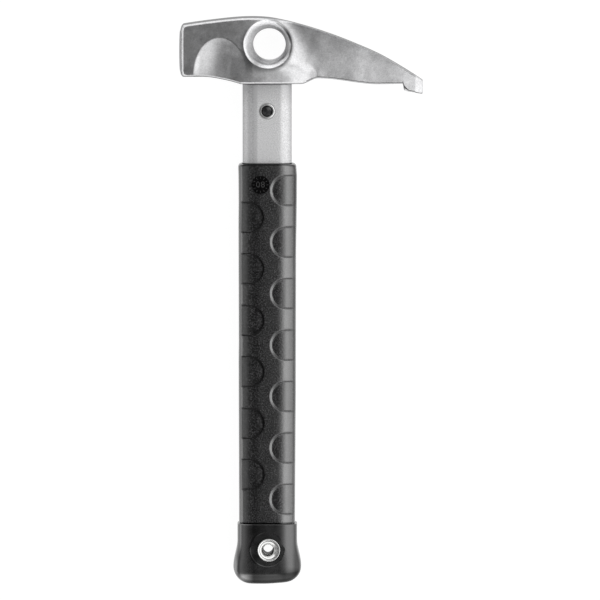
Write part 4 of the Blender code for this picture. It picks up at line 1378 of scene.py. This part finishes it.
light = {
    "floorGlow": 0.95,
    "overhead": 0.05,
    "right": (1.55, 0.02, 0.25),
    "dimLeft": (0.30, 0.0, 0.70),
    "brightLeft": (1.1, 0.93, 1.0),
    "butt": (1.55, 0.45, 0.85),
    "crown": (1.45, 0.32, 0.72),
}
camera = {
    "lens": 540,
    "sensor": 36,
    "reach": 50,
    "place": (-0.0004, 0.313, 4.59),
    "target": (-0.0004, -0.0003, 0.0125),
}


def makeStage():
    bm = bmesh.new()
    bmesh.ops.create_grid(bm, x_segments=8, y_segments=8, size=4.0)
    floor = drawn("paleFloor", bm, Matrix())
    finish = Finish("paleFloorFinish")
    shade = finish.tint(finish.noise(400.0, detail=2.0), (0.10, 0.10, 0.10), (0.12, 0.12, 0.12))
    finish.shader["Specular IOR Level"].default_value = 0.1
    finish.shader["Emission Color"].default_value = (1.0, 1.0, 1.0, 1.0)
    finish.shader["Emission Strength"].default_value = light["floorGlow"]
    floor.data.materials.append(finish.wear(shade, 0.9))


def makeWorld():
    # A dark ceiling overhead, a bright wall to the right and at both ends, and a dim one to the left
    world = bpy.data.worlds.new("studio")
    bpy.context.scene.world = world
    world.use_nodes = True
    studio = Nodes(world.node_tree)
    direction = studio.split(studio.node("ShaderNodeTexCoord").outputs["Generated"])
    across, along = direction["X"], direction["Y"]
    toLeft, toButt = (studio.maths("MULTIPLY", value, -1.0) for value in (across, along))
    brightest = 0.0
    for value, name in (
        (across, "right"), (toLeft, "dimLeft"), (toLeft, "brightLeft"), (toButt, "butt"), (along, "crown")
    ):
        top, start, full = light[name]
        wall = studio.span(value, start, full, 0.0, top - light["overhead"], smooth=True)
        brightest = studio.maths("MAXIMUM", brightest, wall)
    colour = world.node_tree.nodes["Background"].inputs["Color"]
    studio.give(studio.maths("ADD", brightest, light["overhead"]), colour)


def makeCamera():
    data = bpy.data.cameras.new("lens")
    data.lens = camera["lens"]
    data.sensor_width = camera["sensor"]
    data.clip_end = camera["reach"]
    viewer = bpy.data.objects.new("camera", data)
    place, target = Vector(camera["place"]), Vector(camera["target"])
    back = (place - target).normalized()
    right = Vector((0.0, 1.0, 0.0)).cross(back).normalized()
    turn = Matrix((right, back.cross(right), back)).transposed()
    viewer.matrix_world = Matrix.Translation(place) @ turn.to_4x4()
    bpy.context.scene.collection.objects.link(viewer)
    bpy.context.scene.camera = viewer


bpy.context.scene.view_settings.view_transform = "Standard"
makeHead(forgedSteel())
makeTube(satinAluminium())
makePin(blackSteel())
makeGrip(gripRubber())
makeDial(dialInk())
makeCap(capRubber())
makeEyelets(nickelPlate())
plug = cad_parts["tube_end_plug"]
nylon = blackNylon()
for slot in plug.material_slots:
    slot.material = nylon
makeStage()
makeWorld()
makeCamera()
print("scene ready")
